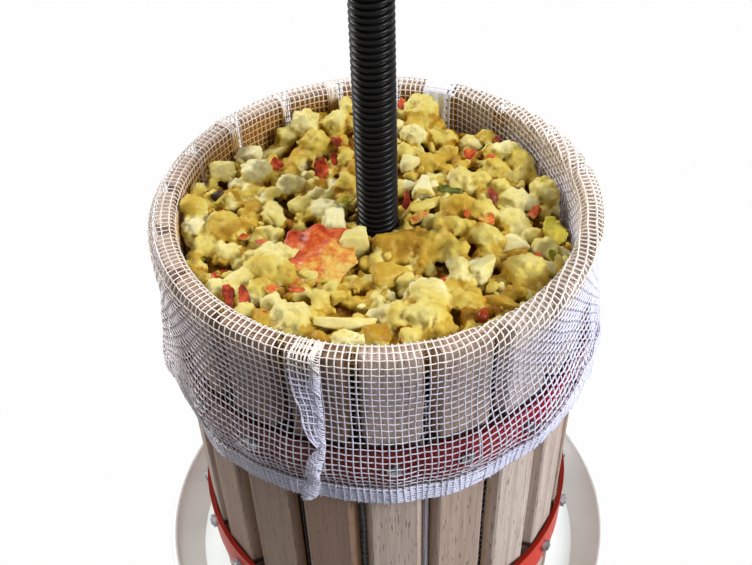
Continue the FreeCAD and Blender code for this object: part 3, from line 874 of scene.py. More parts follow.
def netLiner():
    # the lower liner, seen through the gaps between the slats
    top = -bag["linerRows"] * bag["rowPitch"]
    depth = bag["linerFloor"] - bag["profile"][0][1] - top
    rows = bag["lowerRows"]
    columnLines = []
    levels = [top + depth * row / rows for row in range(rows + 1)]
    for k, angle in enumerate(netAngles):
        columnLines.append([bagPoint(angle, level, overUnder(k, row)) for row, level in enumerate(levels)])
    start, pitch, count = bag["gapStrip"]
    for step in range(count):
        columnLines.append([bagPoint(start + step * pitch, top - 6 - n * 3.0, 0.3) for n in range(70)])
    rowLines = []
    for row in range(1, rows):
        rowLines.append([bagPoint(a, levels[row], -overUnder(k, row)) for k, a in enumerate(netAngles)])
    return weave("bagLiner", columnLines, rowLines, 1.0, closed=True)


def netFloor():
    # the bag's floor, open round the spindle's nut
    floorZ = rimZ / mm + bag["linerFloor"]
    reach, hole, pitch, wave = bag["liner"] - 1, 24.5, 4.5, 0.25
    lines = []
    for axis in (0, 1):
        for step in range(-25, 26):
            offset = step * pitch
            half = math.sqrt(reach**2 - offset**2)
            gap = math.sqrt(max(0.0, hole**2 - offset**2))
            for start, end in [(-half, -gap), (gap, half)] if gap else [(-half, half)]:
                count = max(2, int((end - start) / 9))
                points = []
                for n in range(count + 1):
                    t = start + (end - start) * n / count
                    z = floorZ + (wave if (n + step + axis) % 2 else -wave)
                    points.append(Vector((offset, t, z) if axis else (t, offset, z)) * mm)
                lines.append(points)
    return weave("bagFloor", lines, [], 1.0)


seam = {  # all as (mm along the cloth, degrees)
    "line": [
        (-6, -14.6), (15, -14.8), (40, -15.0), (62, -14.8), (72, -14.3), (76, -14.1), (82, -14.3),
        (90, -15.4), (100, -16.2), (110, -16.4), (120, -16.8), (128, -17.8), (138, -19.2),
    ],
    "halfWidth": [
        (-6, 0.9), (25, 1.3), (62, 1.1), (72, 0.8), (76, 0.9), (82, 1.05),
        (90, 1.6), (100, 1.5), (110, 1.2), (120, 1.5), (130, 1.8), (138, 0.9),
    ],
    "flapEdge": [
        (-4, -20.2), (25, -20.4), (35, -20.0), (45, -19.5), (55, -18.6), (65, -17.8), (72, -16.8),
        (76, -15.6), (80, -14.2),
    ],
    "start": -4,
    "rowPitch": 1.3,
    "pointPitch": 2.6,
    "columns": 5,
    "thread": 0.8,
    "flapNarrowest": 0.5,
    "flapLayers": [(0, 7, 4.2), (1, 4, 4.6)],  # layer, columns, mm between rows
}


def netSeam(rng):
    # the twisted edge at the front left
    start, rowPitch, pointPitch = [seam[key] for key in ("start", "rowPitch", "pointPitch")]
    tall = skirtLength(-15) + 7.0 - start
    rowLines = []
    for n in range(int(tall / rowPitch)):
        along = start + n * rowPitch
        centre, wide = [between(seam[key], along) for key in ("line", "halfWidth")]
        tilt = 0.8 + rng.uniform(-0.6, 0.6)
        rowLines.append([
            bagPoint(centre + wide * t, along + tilt * t, 2.0 - 0.7 * t * t + rng.uniform(-0.2, 0.2))
            for t in (-1, -0.3, 0.4, 1)])
    columnLines = []
    for n in range(seam["columns"]):
        share = -1 + n / 2
        points = []
        for step in range(int(tall / pointPitch) + 1):
            along = start + step * pointPitch
            centre, wide = [between(seam[key], along) for key in ("line", "halfWidth")]
            side = centre + wide * share * math.cos(step * 0.9 + n)
            lift = 1.7 + 0.5 * math.sin(n * 2.1 + step * 0.9)
            points.append(bagPoint(side, along + rng.uniform(-0.3, 0.3), lift))
        columnLines.append(points)
    return weave("bagSeam", columnLines, rowLines, seam["thread"], finish="seam")


def flapLift(layer, share, along):
    # the flap stands off further at its free edge, below the rim
    return layer * 0.7 + 1.3 * (1 - share) * smoothStep(20, 50, along)


def netFlap(rng):
    # the loose flap of net beside the seam, two layers with frayed ends
    columnLines = []
    rowLines = []
    for layer, count, pitch in seam["flapLayers"]:
        for n in range(count):
            share = n / (count - 1)
            points = []
            for step in range(46):
                along = -6 + step * 2.0
                edge, centre = [between(seam[key], along) for key in ("flapEdge", "line")]
                if centre - edge < seam["flapNarrowest"]:
                    break
                side = edge + (centre - edge) * share + 0.12 * layer * math.sin(step * 0.5)
                lift = 1.2 + flapLift(layer, share, along) + 0.25 * math.sin(step * 0.8 + n * 2)
                points.append(bagPoint(side, along, lift))
            columnLines.append(points)
        for step in range(int(88 / pitch)):
            along = seam["start"] + step * pitch + layer * 1.6
            edge, centre = [between(seam[key], along) for key in ("flapEdge", "line")]
            if centre - edge < seam["flapNarrowest"]:
                break
            drop = rng.uniform(-0.6, 1.4) - layer
            points = [bagPoint(edge - rng.uniform(0.2, 0.7), along + drop * 1.3, 1.6 + rng.uniform(0, 0.9))]
            for share in (0, 0.25, 0.5, 0.75, 1):
                lift = 1.3 + flapLift(layer, share, along)
                points.append(bagPoint(edge + (centre - edge) * share, along + drop * (1 - share), lift))
            rowLines.append(points)
    return weave("bagFlap", columnLines, rowLines, seam["thread"], finish="seam")


tuckFolds = [  # centre and half width in degrees, from and to in mm along the cloth, how many threads
    (-166.6, 1.3, -30, 14, 7), (-149.0, 0.3, -26, 12, 3), (-129.0, 0.9, -18, 20, 4),
]


def netTucks():
    # narrow tucks where the cloth is folded over the rim at the back
    lines = []
    for centre, wide, inner, outer, count in tuckFolds:
        for n in range(count):
            side = centre + wide * (-1 + 2 * n / (count - 1))
            points = []
            for step in range(int((outer - inner) / 2.5) + 1):
                along = inner + step * 2.5
                lift = -1.0 if along < 0 else 1.0
                points.append(bagPoint(side, along, lift + 0.3 * math.sin(n * 1.7 + step * 0.9)))
            lines.append(points)
    return weave("bagTucks", lines, [], 0.95)


tape = {
    "left": 163.6, "right": 154.6,  # degrees
    "low": -34.0, "high": 24.0,  # mm along the cloth
    "columns": 18, "rows": 58,
    "holeColumn": 15, "holeRows": (0, 1), "holeEvery": 6,
    "thickness": 0.35,
}


def makeTape():
    # the wide plain selvedge inside the back of the bag, with a column of open holes
    bm = bmesh.new()
    bmesh.ops.create_grid(bm, x_segments=tape["columns"], y_segments=tape["rows"], size=0.5)
    holes = []
    for face in bm.faces:
        middle = face.calc_center_median()
        column = round((middle.x + 0.5) * tape["columns"] - 0.5)
        row = round((middle.y + 0.5) * tape["rows"] - 0.5)
        if column == tape["holeColumn"] and row % tape["holeEvery"] in tape["holeRows"]:
            holes.append(face)
    bmesh.ops.delete(bm, geom=holes, context="FACES")
    for vert in bm.verts:
        angle = tape["left"] + (vert.co.x + 0.5) * (tape["right"] - tape["left"])
        along = tape["low"] + (vert.co.y + 0.5) * (tape["high"] - tape["low"])
        lift = (-1.0 if along < 2 else 1.1) * (1 - 0.3 * math.sin(vert.co.x * 19))
        vert.co = bagPoint(angle, along, lift)
    piece = newPiece("bagTape", bm, "tape")
    wall = piece.modifiers.new("thickness", "SOLIDIFY")
    wall.thickness = tape["thickness"] * mm
    wall.offset = 0
    applyModifiers(piece)
    return piece


def makeBag():
    net, turnUp, liner, floor = netTop(), netHem(), netLiner(), netFloor()
    rng = random.Random(23)
    edge, flap = netSeam(rng), netFlap(rng)
    tucks, selvedge = netTucks(), makeTape()
    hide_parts("press_bag")


makeBag()


# crushed apple: one heaped mass of lumps, loose chunks on it, torn peel, a pip and a stem

mash = {  # lengths in mm
    "radius": 114.0,
    "overhang": 0.6,  # the crust's points may pass the radius by this
    "hole": 12.6,
    "voxel": 1.3,
    "crustTriangles": 190000,
    "crown": -14.0,  # surface near the spindle, from the rim
    "edge": [  # surface at the bag by degrees from the front, from the rim
        (-180, -7), (-170, -5), (-160, -13), (-150, -14), (-140, -25), (-128, -14), (-115, -12),
        (-105, -10), (-92, -8), (-80, -18), (-60, -13), (-40, -9), (-20, -8), (0, -8), (20, -9),
        (40, -10), (60, -14), (80, -26), (95, -28), (105, -22), (118, -22), (130, -16), (146, -24),
        (157, -16), (168, -7), (180, -7),
    ],
    "coarseBumps": (0.18, 0.24, 0.32, 0.44),  # as shares of their lump
    "fineBumps": (1.5, 2.0, 2.6, 3.2),
    "filler": 1300,
    "fillerSizes": (2.2, 2.8, 3.4, 4.2, 5.4),
    "crumbs": 300,
    "crumbSizes": (1.6, 2.0, 2.6, 3.4),
    "peelThickness": 1.3,
    "slabDepth": 10.0,
    "slabRings": 20,
    "bodyRadius": 114.8,
    "bodyTall": 270.0,
    "bodyLow": 156.5,
}
lumps = [  # x, y, half width and half depth in mm, then freshness from 0 (pale) to 1 (brown)
    (-95, 44, 8, 7, .3), (-74, 44, 9, 8, .12), (-116, 28, 4, 5, .3), (-108, 4, 8, 8, .45),
    (-98, 15, 5, 4, .35), (-89, 20, 6, 3, .75), (-45, 95, 11, 9, .15), (-58, 90, 6, 5, .4),
    (-38, 74, 8, 7, .5), (-25, 91, 7, 8, .3), (-18, 105, 4, 9, .4), (-47, 69, 8, 5, .6),
    (-52, 63, 4, 5, .5), (-52, 30, 10, 6, .25), (-34, 21, 8, 4, .2), (-19, 32, 6, 5, .5),
    (-61, 2, 6, 7, .3), (-29, 5, 10, 7, .15), (-64, 23, 4, 4, .5), (-46, 11, 7, 4, .4),
    (-19, 59, 4, 8, .5), (-107, -7, 6, 6, .05), (-100, -19, 8, 7, .4), (-86, -26, 8, 5, .2),
    (-62, -11, 8, 4, .3), (-60, -32, 16, 6, .35), (-89, -8, 12, 9, .7), (-16, -24, 9, 6, .2),
    (-26, -5, 6, 6, .02), (-62, -45, 16, 7, .38), (-107, -34, 3, 6, .55), (-89, -60, 4, 7, .2),
    (-64, -63, 9, 6, .5), (-77, -52, 7, 4, .3), (-43, -69, 5, 3, .35), (-58, -76, 6, 4, .25),
    (-47, -90, 10, 11, .25), (-32, -73, 5, 6, .35), (-62, -89, 5, 5, .8), (-18, -106, 10, 5, .2),
    (-32, -104, 5, 3, .5), (-3, -103, 8, 6, .85), (-72, -82, 5, 4, .3), (19, -24, 17, 8, .8),
    (4, -27, 7, 7, .78), (26, -75, 11, 14, .28), (23, -91, 13, 8, .35), (45, -54, 7, 10, .25),
    (95, -24, 8, 6, .2), (80, -54, 13, 10, .45), (92, -51, 4, 4, .1), (48, -11, 12, 5, .35),
    (61, -22, 10, 8, .3), (47, -78, 9, 5, .55), (9, -88, 6, 8, .4), (43, -34, 7, 6, .5),
    (35, -24, 8, 6, .55), (74, -72, 8, 3, .7), (14, -104, 6, 4, .45), (28, -100, 8, 4, .6),
    (31, 105, 12, 12, .35), (24, 79, 9, 5, .1), (42, 83, 10, 6, .35), (74, 85, 6, 5, .55),
    (80, 64, 11, 5, .1), (92, 56, 8, 9, .3), (34, 54, 9, 5, .55), (51, 34, 7, 7, .3),
    (63, 35, 8, 6, .4), (47, 7, 10, 7, .65), (83, 19, 10, 7, .22), (79, 1, 10, 9, .35),
    (102, 27, 9, 9, .3), (62, 5, 8, 6, .4), (36, -11, 9, 5, .5), (89, -10, 8, 5, .3),
    (74, 48, 8, 6, .4), (18, 62, 5, 5, .4), (75, 31, 8, 5, .35), (46, 65, 8, 5, .6),
]
chunks = [  # x, y, half width, half depth, half height in mm, freshness, turn in degrees, how many cuts
    (-82, 69, 10, 7, 6, .05, -15, 7), (-65, 79, 10, 5, 4, .3, 25, 5), (28, 25, 8, 9, 7, .12, 12, 7),
    (-23, -72, 5, 5, 4, .5, 0, 3), (57, -50, 6, 12, 6, .06, -38, 1), (76, -24, 10, 6, 6, .03, 4, 3),
    (62, 81, 8, 5, 5, .08, -8, 3), (21, 50, 6, 6, 6, .02, 0, 3), (-19, -94, 17, 6, 6, .3, -4, 7),
    (7, -53, 12, 8, 4, .74, 8, 6), (63, -79, 12, 3, 3, .62, -20, 4), (29, 8, 11, 3, 3, .5, 22, 4),
    (-29, 3, 7, 6, 5, .1, 20, 5), (-26, -8, 7, 7, 10, .04, 0, 3), (-13, -25, 10, 6, 9, .24, 10, 4),
    (-107, -8, 6, 5, 5, .02, 0, 3), (92, -50, 5, 4, 4, .05, 0, 3),
    (-74, 46, 8, 7, 6, .1, 30, 6), (-48, -88, 9, 8, 7, .22, 15, 6), (26, -70, 10, 10, 6, .25, 20, 6),
    (80, 64, 10, 5, 4, .08, -10, 5), (83, 18, 8, 6, 5, .2, 15, 5), (45, -53, 6, 9, 6, .2, -20, 5),
    (-41, 96, 8, 6, 5, .15, 10, 4), (-60, 0, 5, 6, 5, .25, 50, 4), (24, 79, 8, 5, 4, .06, 0, 4),
    (80, -53, 10, 7, 6, .4, 30, 5), (-17, -106, 9, 4, 4, .2, 0, 4), (-85, -26, 7, 5, 4, .18, 20, 4),
]


def mashLevel(x, y):
    share = smoothStep(35, 108, math.hypot(x, y))
    edge = between(mash["edge"], math.degrees(math.atan2(x, -y)))
    return rimZ / mm + mash["crown"] * (1 - share) + edge * share


def onMash(bm, x, y, lift):
    return placeIn(bm, (x, y, mashLevel(x, y) + lift))


def keepInside(x, y, reach):
    # moves a place so that a piece of that reach stays between the spindle and the bag
    radius = math.hypot(x, y)
    wanted = min(mash["radius"] - reach, max(mash["hole"] + reach, radius))
    return x * wanted / radius, y * wanted / radius


def brokenBall(rng, detail, cuts, rough, swell, square):
    # a ball pulled towards a box, flattened by a few random cuts, then roughened
    bm = bmesh.new()
    bmesh.ops.create_icosphere(bm, subdivisions=detail, radius=1.0)
    planes = []
    for _ in range(cuts):
        planes.append((Vector([rng.gauss(0, 1) for _ in range(3)]).normalized(), rng.uniform(0.48, 0.8)))
    shift = Vector([rng.uniform(-50, 50) for _ in range(3)])
    for vert in bm.verts:
        point = vert.co.copy()
        point *= 1 + square * (1 / max(abs(c) for c in point) - 1)
        for direction, distance in planes:
            over = point.dot(direction) - distance
            if over > 0:
                point -= direction * over * 0.9
        bump = 0.0
        for scale, height in ((1.5, swell), (3.4, 0.13 * rough), (7.5, 0.07 * rough)):
            bump += noise.noise(point * scale + shift) * height
        vert.co = point * (1 + bump)
    return bm


def markFlesh(piece, spots, drop, reach, shade=1.0):
    # stores how brown each point is, from the nearest lumps, and how deep it lies in a hollow, for painted
    # shade
    tree = KDTree(len(spots))
    for n, (x, y, z, _, _) in enumerate(spots):
        tree.insert(Vector((x, y, z)) * mm, n)
    tree.balance()
    bm = bmesh.new()
    bm.from_mesh(piece.data)
    before = [(v.co.copy(), v.normal.copy()) for v in bm.verts]
    smoothed(bm, 4)
    tints = []
    hollowShades = []
    for vert, (place, normal) in zip(bm.verts, before):
        best = (9.0, 0.4)
        for _, n, distance in tree.find_n(place, 4):
            size, tint = spots[n][3:]
            best = min(best, (distance / (size * mm), tint))
        tints.append(best[1])
        cup = min(1.0, max(-0.6, (vert.co - place).dot(normal) / (0.55 * mm)))
        below = (mashLevel(place.x / mm, place.y / mm) + drop - place.z / mm) / reach
        hollowShade = 0.75 * min(1.0, max(0.0, below)) + shade * 0.32 * cup
        hollowShades.append(min(1.0, max(0.0, hollowShade)))
    bm.free()
    storeValues(piece, {"tint": tints, "hollowShade": hollowShades})


def onDome(around, rise, wide, deep, tall):
    flat = math.cos(rise)
    return Vector((math.cos(around) * flat * wide, math.sin(around) * flat * deep, math.sin(rise) * tall))


def addLumps(rng, pile, spots):
    # each lump carries coarse bumps just inside its surface and fine ones on it
    for x, y, wide, deep, tint in lumps:
        small = min(wide, deep)
        x, y = keepInside(x, y, max(wide, deep) * 0.92 * 0.8)
        tall = small * rng.uniform(0.95, 1.25)
        place = (x, y, mashLevel(x, y) - tall * rng.uniform(0.12, 0.36))
        bm = brokenBall(rng, 3, 4, 1.0, 0.2, 0.35)
        bmesh.ops.transform(bm, matrix=Matrix.Diagonal((wide, deep, tall, 1)), verts=bm.verts)
        fuse(pile, placeIn(bm, place))
        coarse = [small * share for share in mash["coarseBumps"]]
        bumps = []
        for count, rises, sizes, sunk in (
                (12 + wide * 1.4, (0.05, 1.25), coarse, 0.86),
                (6 + 0.12 * wide * deep, (0.1, 1.4), mash["fineBumps"], 1.0)):
            for _ in range(int(count)):
                spot = onDome(rng.uniform(0, math.tau), rng.uniform(*rises), wide, deep, tall) * sunk
                bumps.append((spot, rng.choice(sizes)))
        for spot, size in bumps:
            ball = brokenBall(rng, 2, 2, 0.8, 0.2, 0.5)
            move = Matrix.Translation(spot) @ randomTurn(rng) @ Matrix.Scale(size, 4)
            bmesh.ops.transform(ball, matrix=move, verts=ball.verts)
            fuse(pile, placeIn(ball, place))
        spots.append((x, y, place[2] + tall * 0.3, small, tint))


def addFiller(rng, pile, spots):
    # broken bits fill the room between the lumps
    for _ in range(mash["filler"]):
        radius = math.sqrt(rng.uniform(0.012, 1.0)) * mash["radius"]
        angle = rng.uniform(0, math.tau)
        size = rng.choice(mash["fillerSizes"])
        x, y = keepInside(radius * math.cos(angle), radius * math.sin(angle), size * 0.8)
        z = mashLevel(x, y) - rng.uniform(1.6, 8.5)
        ball = brokenBall(rng, 2, 3, 1.0, 0.2, 0.4)
        stretch = Matrix.Diagonal((rng.uniform(0.8, 1.3), rng.uniform(0.8, 1.2), rng.uniform(0.7, 1.0), 1))
        bmesh.ops.transform(ball, matrix=randomTurn(rng) @ stretch @ Matrix.Scale(size, 4), verts=ball.verts)
        fuse(pile, placeIn(ball, (x, y, z)))
        spots.append((x, y, z, size, min(1.0, max(0.0, rng.gauss(0.56, 0.2)))))


def makeSlab():
    # a wavy slab below holds the lumps together
    hole, deep, rings = mash["hole"], mash["slabDepth"], mash["slabRings"]
    slab = bmesh.new()
    bmesh.ops.create_circle(slab, cap_ends=False, segments=96, radius=hole)
    outer = slab.edges[:]
    for step in range(rings):
        grown = bmesh.ops.extrude_edge_only(slab, edges=outer)["geom"]
        outer = [g for g in grown if isinstance(g, bmesh.types.BMEdge)]
        radius = hole + (mash["radius"] - hole) * (step + 1) / rings
        for vert in [g for g in grown if isinstance(g, bmesh.types.BMVert)]:
            vert.co = Vector((vert.co.x, vert.co.y, 0)).normalized() * radius
    for vert in slab.verts:
        vert.co.z = mashLevel(vert.co.x, vert.co.y) - deep + 1.5 * noise.noise(vert.co * 0.12)
    grown = bmesh.ops.extrude_face_region(slab, geom=slab.faces[:])["geom"]
    lower = [g for g in grown if isinstance(g, bmesh.types.BMVert)]
    bmesh.ops.translate(slab, vec=(0, 0, -deep), verts=lower)
    bmesh.ops.recalc_face_normals(slab, faces=slab.faces)
    return placeIn(slab, (0, 0, 0))


def makeCrust():
    rng = random.Random(7)
    pile = bmesh.new()
    spots = []
    addLumps(rng, pile, spots)
    addFiller(rng, pile, spots)
    fuse(pile, makeSlab())
    piece = newPiece("mashCrust", pile, "flesh")
    remesh = piece.modifiers.new("oneSkin", "REMESH")
    remesh.mode = "VOXEL"
    remesh.voxel_size = mash["voxel"] * mm
    remesh.use_smooth_shade = True
    applyModifiers(piece)
    bm = bmesh.new()
    bm.from_mesh(piece.data)
    smoothed(bm, 1)
    bm.normal_update()
    for vert in bm.verts:
        push = noise.noise(vert.co * 200) * 0.8 + abs(noise.noise(vert.co * 330)) * 1.5 - 0.5
        vert.co += vert.normal * push * mm
        radius = math.hypot(vert.co.x, vert.co.y) / mm
        wanted = min(mash["radius"] + mash["overhang"], max(mash["hole"], radius))
        if wanted != radius:
            vert.co.x *= wanted / radius
            vert.co.y *= wanted / radius
    bm.to_mesh(piece.data)
    bm.free()
    thin = piece.modifiers.new("fewerFaces", "DECIMATE")
    thin.ratio = min(1.0, mash["crustTriangles"] / (2 * len(piece.data.polygons)))
    applyModifiers(piece)
    piece.data.materials.clear()
    piece.data.materials.append(finishes["flesh"])
    for polygon in piece.data.polygons:
        polygon.use_smooth = True
    markFlesh(piece, spots, -1.5, 9.0)
    print("mash crust:", len(piece.data.polygons), "faces")
    return piece


def makeBody():
    # the fruit below the crust, seen only through net and slat gaps; its near-black finish is painted shade
    radius, tall = mash["bodyRadius"] * mm, mash["bodyTall"] * mm
    bm = bmesh.new()
    bmesh.ops.create_cone(bm, cap_ends=True, segments=120, radius1=radius, radius2=radius, depth=tall)
    bmesh.ops.translate(bm, vec=(0, 0, mash["bodyLow"] * mm + tall / 2), verts=bm.verts)
    sides = [e for e in bm.edges if abs(e.verts[0].co.z - e.verts[1].co.z) > 0.1]
    bmesh.ops.subdivide_edges(bm, edges=sides, cuts=50, use_grid_fill=True)
    for vert in bm.verts:
        if math.hypot(vert.co.x, vert.co.y) > 0.1:
            push = 1 - 0.011 * (1 + noise.noise(vert.co * 110) + 0.6 * noise.noise(vert.co * 260))
            vert.co.x *= push
            vert.co.y *= push
    return newPiece("mashBody", bm, "soakedWithPaintedShading")


smears = {  # angles in degrees from the front, lengths in mm
    "angles": (137.0, 155.0),
    "spread": 4.6,
    "middle": -19.5,  # from the rim
    "tall": 36.0,
    "radius": 117.2,
    "ripple": 0.25,
    "thickness": 0.3,
}


def makeSmears():
    # pulp squeezed into two of the rear slat gaps, behind the net
    bm = bmesh.new()
    for centre in smears["angles"]:
        grown = bmesh.ops.create_grid(bm, x_segments=4, y_segments=30, size=0.5)
        for vert in grown["verts"]:
            angle = math.radians(centre + vert.co.x * smears["spread"])
            z = rimZ + (smears["middle"] + vert.co.y * smears["tall"]) * mm
            wave = noise.noise(Vector((angle * 60, z * 400, centre)))
            reach = smears["radius"] + smears["ripple"] * wave
            vert.co = Vector((reach * mm * math.sin(angle), -reach * mm * math.cos(angle), z))
    piece = newPiece("mashSmears", bm, "flesh")
    wall = piece.modifiers.new("thickness", "SOLIDIFY")
    wall.thickness = smears["thickness"] * mm
    applyModifiers(piece)
    count = len(piece.data.vertices)
    # a fixed hollow shade value darkens them as painted shade
    storeValues(piece, {"hollowShade": [0.5] * count, "tint": [0.9] * count})
    return piece


def makeCrumbs():
    # small broken bits strewn over the mash
    rng = random.Random(33)
    places = []
    for _ in range(mash["crumbs"]):
        radius = math.sqrt(rng.uniform(0.03, 1.0)) * mash["radius"]
        angle = rng.uniform(0, math.tau)
        size = rng.choice(mash["crumbSizes"])
        x, y = radius * math.cos(angle), radius * math.sin(angle)
        places.append((x, y, mashLevel(x, y) - rng.uniform(0.5, 6.0), size, rng.gauss(0.5, 0.16)))
    pile = bmesh.new()
    spots = []
    for x, y, z, size, tint in places:
        x, y = keepInside(x, y, size * 1.3)
        bm = brokenBall(rng, 2, 4, 0.7, 0.2, 0.5)
        stretch = Matrix.Diagonal((rng.uniform(0.9, 1.5), rng.uniform(0.7, 1.1), rng.uniform(0.6, 1.0), 1))
        bmesh.ops.transform(bm, matrix=randomTurn(rng) @ stretch @ Matrix.Scale(size, 4), verts=bm.verts)
        fuse(pile, placeIn(bm, (x, y, z)))
        spots.append((x, y, z, size, min(0.9, max(0.0, tint))))
    piece = newPiece("mashCrumbs", pile, "chunk")
    markFlesh(piece, spots, -3.0, 9.0, 0.3)
    return piece


def makeChunks():
    # separate pieces of flesh with cut faces, lying on the crust
    rng = random.Random(21)
    pile = bmesh.new()
    spots = []
    for x, y, wide, deep, tall, tint, turn, cuts in chunks:
        x, y = keepInside(x, y, max(wide, deep) * 0.75)
        bm = brokenBall(rng, 4 if max(wide, deep) > 6 else 3, cuts + 2, 0.6, 0.1, 0.6)
        z = mashLevel(x, y) + tall * 0.05
        tips = [Matrix.Rotation(rng.uniform(-0.3, 0.3), 4, axis) for axis in "XY"]
        spin = Matrix.Rotation(math.radians(turn), 4, "Z")
        move = spin @ (tips[0] @ tips[1]) @ Matrix.Diagonal((wide, deep, tall, 1))
        bmesh.ops.transform(bm, matrix=move, verts=bm.verts)
        fuse(pile, placeIn(bm, (x, y, z)))
        spots.append((x, y, z, max(wide, deep), tint))
    piece = newPiece("mashChunks", pile, "chunk")
    markFlesh(piece, spots, -4.0, 10.0, 0.3)
    return piece


skins = [
    # x, y, length and width in mm, tone at both ends from 0 (flesh) to 1 (dark red), the direction
    # in which it changes, turn and lean in degrees, lift in mm
    (-34, -36, 55, 54, 0.74, 0.24, -42, -12, 14, 3.6), (-88, -8, 25, 22, 0.5, 0.42, -60, 25, 22, 3.5),
    (-81, -70, 9, 17, 0.85, 0.95, -90, 12, 35, 3.5), (-72, -73, 8, 17, 0.9, 0.8, -90, 18, 35, 3.5),
    (-64, -61, 10, 6, 0.55, 0.4, 0, 10, 20, 4.0), (-58, -68, 9, 8, 0.5, 0.3, -90, 0, 25, 4.0),
    (-34, 43, 12, 19, 0.88, 0.8, -90, 8, 48, 5.0), (-28, 76, 14, 11, 0.95, 1.0, -90, 0, 20, 0.0),
    (-24, 70, 7, 9, 0.8, 0.9, -90, 0, 30, 3.0), (-26, 56, 6, 12, 0.95, 1.0, -90, 10, 30, 1.0),
    (-62, 52, 12, 11, 0.72, 0.82, 0, 30, 30, 2.5), (-78, -16, 10, 5, 0.7, 0.5, 0, -10, 20, 4.0),
    (-66, -24, 11, 5, 0.7, 0.6, 0, -35, 20, 4.0), (-44, -69, 11, 5, 0.75, 0.6, 0, -10, 20, 4.0),
    (59, 60, 10, 10, 0.7, 0.85, 0, -20, 25, 3.0), (74, 43, 8, 6, 0.7, 0.6, 0, 20, 25, 3.5),
    (69, 17, 7, 13, 0.85, 0.95, -90, 20, 35, 3.5), (52, -2, 5, 6, 0.8, 0.7, -90, 10, 30, 3.5),
    (64, -3, 14, 9, 0.35, 0.5, 0, -30, 20, 3.5), (94, 10, 15, 8, 0.5, 0.65, 0, 38, 35, 3.5),
    (18, 101, 7, 10, 0.75, 0.85, -90, 0, 30, 4.0), (72, 55, 8, 4, 0.6, 0.5, 0, 0, 20, 3.5),
    (17, 12, 6, 20, 0.9, 1.0, -90, -8, 25, -1.0), (14, -109, 13, 6, 0.85, 0.75, 0, 0, 30, 1.5),
    (34, -64, 5, 4, 0.8, 0.7, 0, 0, 20, 5.0), (19, -29, 12, 10, 0.66, 0.56, 0, 0, 10, 2.6),
    (89, -39, 5, 6, 0.7, 0.6, 0, 0, 20, 4.0), (78, 76, 6, 6, 0.85, 0.9, 0, 0, 25, 2.0),
    (24, -4, 16, 8, 0.3, 0.45, 0, 12, 20, 1.5), (-62, -92, 10, 11, 0.6, 0.72, -90, 10, 40, 3.0),
    (-87, -45, 20, 11, 0.82, 0.9, 0, 0, 10, -2.0),
]
greens = [  # the same for green skin
    (103, 27, 17, 18, 0.25, 0.1, 0, 35, 45, 3.0), (102, -8, 20, 22, 0.2, 0.05, 0, 0, 22, 2.5),
    (44, 22, 17, 8, 0.95, 0.85, 0, -10, 20, 1.5), (101, -33, 10, 15, 0.75, 0.65, 0, 60, 45, 0.5),
    (-19, 12, 14, 8, 0.1, 0.0, 0, 20, 25, 3.0), (-103, -26, 9, 12, 0.7, 0.6, 0, 100, 45, 0.0),
    (-62, -38, 10, 6, 0.15, 0.05, 0, 10, 15, 3.6),
]


def makeSkins(name, finish, places, seed):
    # torn skin, ragged at its edge, with a thin layer of flesh on its inner side
    rng = random.Random(seed)
    pile = bmesh.new()
    for x, y, length, width, toneA, toneB, across, turn, lean, lift in places:
        bm = bmesh.new()
        layer = bm.verts.layers.float.new("tone")
        fineness = 30 if length * width > 900 else 16
        bmesh.ops.create_grid(bm, x_segments=fineness, y_segments=fineness, size=0.5)
        shift = Vector((rng.uniform(0, 90), rng.uniform(0, 90), 0))
        outside = []
        for face in bm.faces:
            middle = face.calc_center_median() * 2
            ragged = 0.84 + 0.34 * noise.noise(middle * 1.3 + shift) + 0.1 * noise.noise(middle * 3.4 + shift)
            if middle.length > ragged:
                outside.append(face)
        bmesh.ops.delete(bm, geom=outside, context="FACES")
        smoothed(bm, 2)
        heading = Vector((math.cos(math.radians(across)), math.sin(math.radians(across)), 0))
        bend = rng.uniform(0.3, 0.7)
        for vert in bm.verts:
            share = smoothStep(-0.36, 0.36, vert.co.dot(heading) + 0.12 * noise.noise(vert.co * 5 + shift))
            vert[layer] = toneA + (toneB - toneA) * share
            px, py = vert.co.x * length, vert.co.y * width
            bow = -bend * (px * px / length + py * py / width) * 0.36
            wave = noise.noise(Vector((px, py, 0)) * 0.11 + shift) * 2.2
            wave += noise.noise(Vector((px, py, 5)) * 0.33 + shift) * 0.9
            vert.co = Vector((px, py, bow + wave * min(1.0, length / 20)))
        x, y = keepInside(x, y, max(length, width) * 0.42)
        spin = Matrix.Rotation(math.radians(turn), 4, "Z") @ Matrix.Rotation(math.radians(lean), 4, "X")
        bmesh.ops.transform(bm, matrix=spin, verts=bm.verts)
        fuse(pile, onMash(bm, x, y, lift))
    piece = newPiece(name, pile, finish)
    piece.data.materials.append(finishes["chunk"])
    wall = piece.modifiers.new("thickness", "SOLIDIFY")
    wall.thickness = mash["peelThickness"] * mm
    wall.offset = -1
    wall.material_offset = 1
    wall.material_offset_rim = 1
    soft = piece.modifiers.new("soft", "SUBSURF")
    soft.levels = 1
    soft.render_levels = 1
    applyModifiers(piece)
    count = len(piece.data.vertices)
    # a fixed hollow shade value adds a little painted shade to their flesh side
    storeValues(piece, {"hollowShade": [0.15] * count, "tint": [0.4] * count})
    return piece


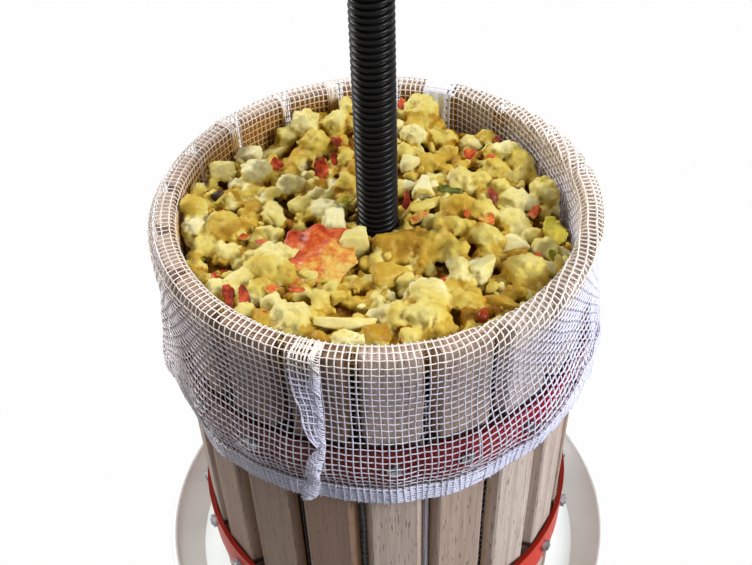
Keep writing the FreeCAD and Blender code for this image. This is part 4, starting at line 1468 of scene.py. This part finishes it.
pipShape = {  # lengths in mm, angles in radians
    "place": (52.6, -92.3),
    "lift": 3.4,
    "half": (4.6, 3.3, 2.8),
    "taper": 0.22,
    "turn": 1.2,
    "lean": -0.35,
}
stemShape = {
    "place": (-94, 12.5),
    "lift": 5,
    "radii": (2.6, 1.7),
    "length": 7,
    "crooked": 0.7,
    "lean": 0.9,
}


def makePip():
    # a drop-shaped apple pip, pointed at one end
    length, width, height = pipShape["half"]
    bm = bmesh.new()
    bmesh.ops.create_uvsphere(bm, u_segments=20, v_segments=12, radius=1)
    for vert in bm.verts:
        taper = 1 - pipShape["taper"] * vert.co.x
        vert.co = Vector((vert.co.x * length, vert.co.y * width * taper, vert.co.z * height * taper))
    spin = Matrix.Rotation(pipShape["turn"], 4, "Z") @ Matrix.Rotation(pipShape["lean"], 4, "Y")
    bmesh.ops.transform(bm, matrix=spin, verts=bm.verts)
    return newPiece("applePip", onMash(bm, *pipShape["place"], pipShape["lift"]), "pip")


def makeStem():
    # the broken stub of an apple's stem
    low, high = stemShape["radii"]
    bm = bmesh.new()
    bmesh.ops.create_cone(
        bm, cap_ends=True, segments=12, radius1=low, radius2=high, depth=stemShape["length"])
    bmesh.ops.subdivide_edges(bm, edges=bm.edges, cuts=1, use_grid_fill=True)
    for vert in bm.verts:
        wander = Vector((noise.noise(vert.co * 0.7), noise.noise(vert.co * 0.65), 0))
        vert.co += wander * stemShape["crooked"]
    bmesh.ops.transform(bm, matrix=Matrix.Rotation(stemShape["lean"], 4, "Y"), verts=bm.verts)
    return newPiece("appleStem", onMash(bm, *stemShape["place"], stemShape["lift"]), "stem")


def makeMash():
    crust = makeCrust()
    pieces = [crust, makeBody(), makeSmears(), makeCrumbs(), makeChunks()]
    pieces.append(makeSkins("redPeels", "redSkin", skins, 5))
    pieces.append(makeSkins("greenPeels", "greenSkin", greens, 6))
    pieces += [makePip(), makeStem()]
    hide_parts("fruit_mash")
    for piece in pieces:
        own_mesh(piece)
    print("mash made:", sum(len(p.data.polygons) for p in pieces), "faces")


makeMash()
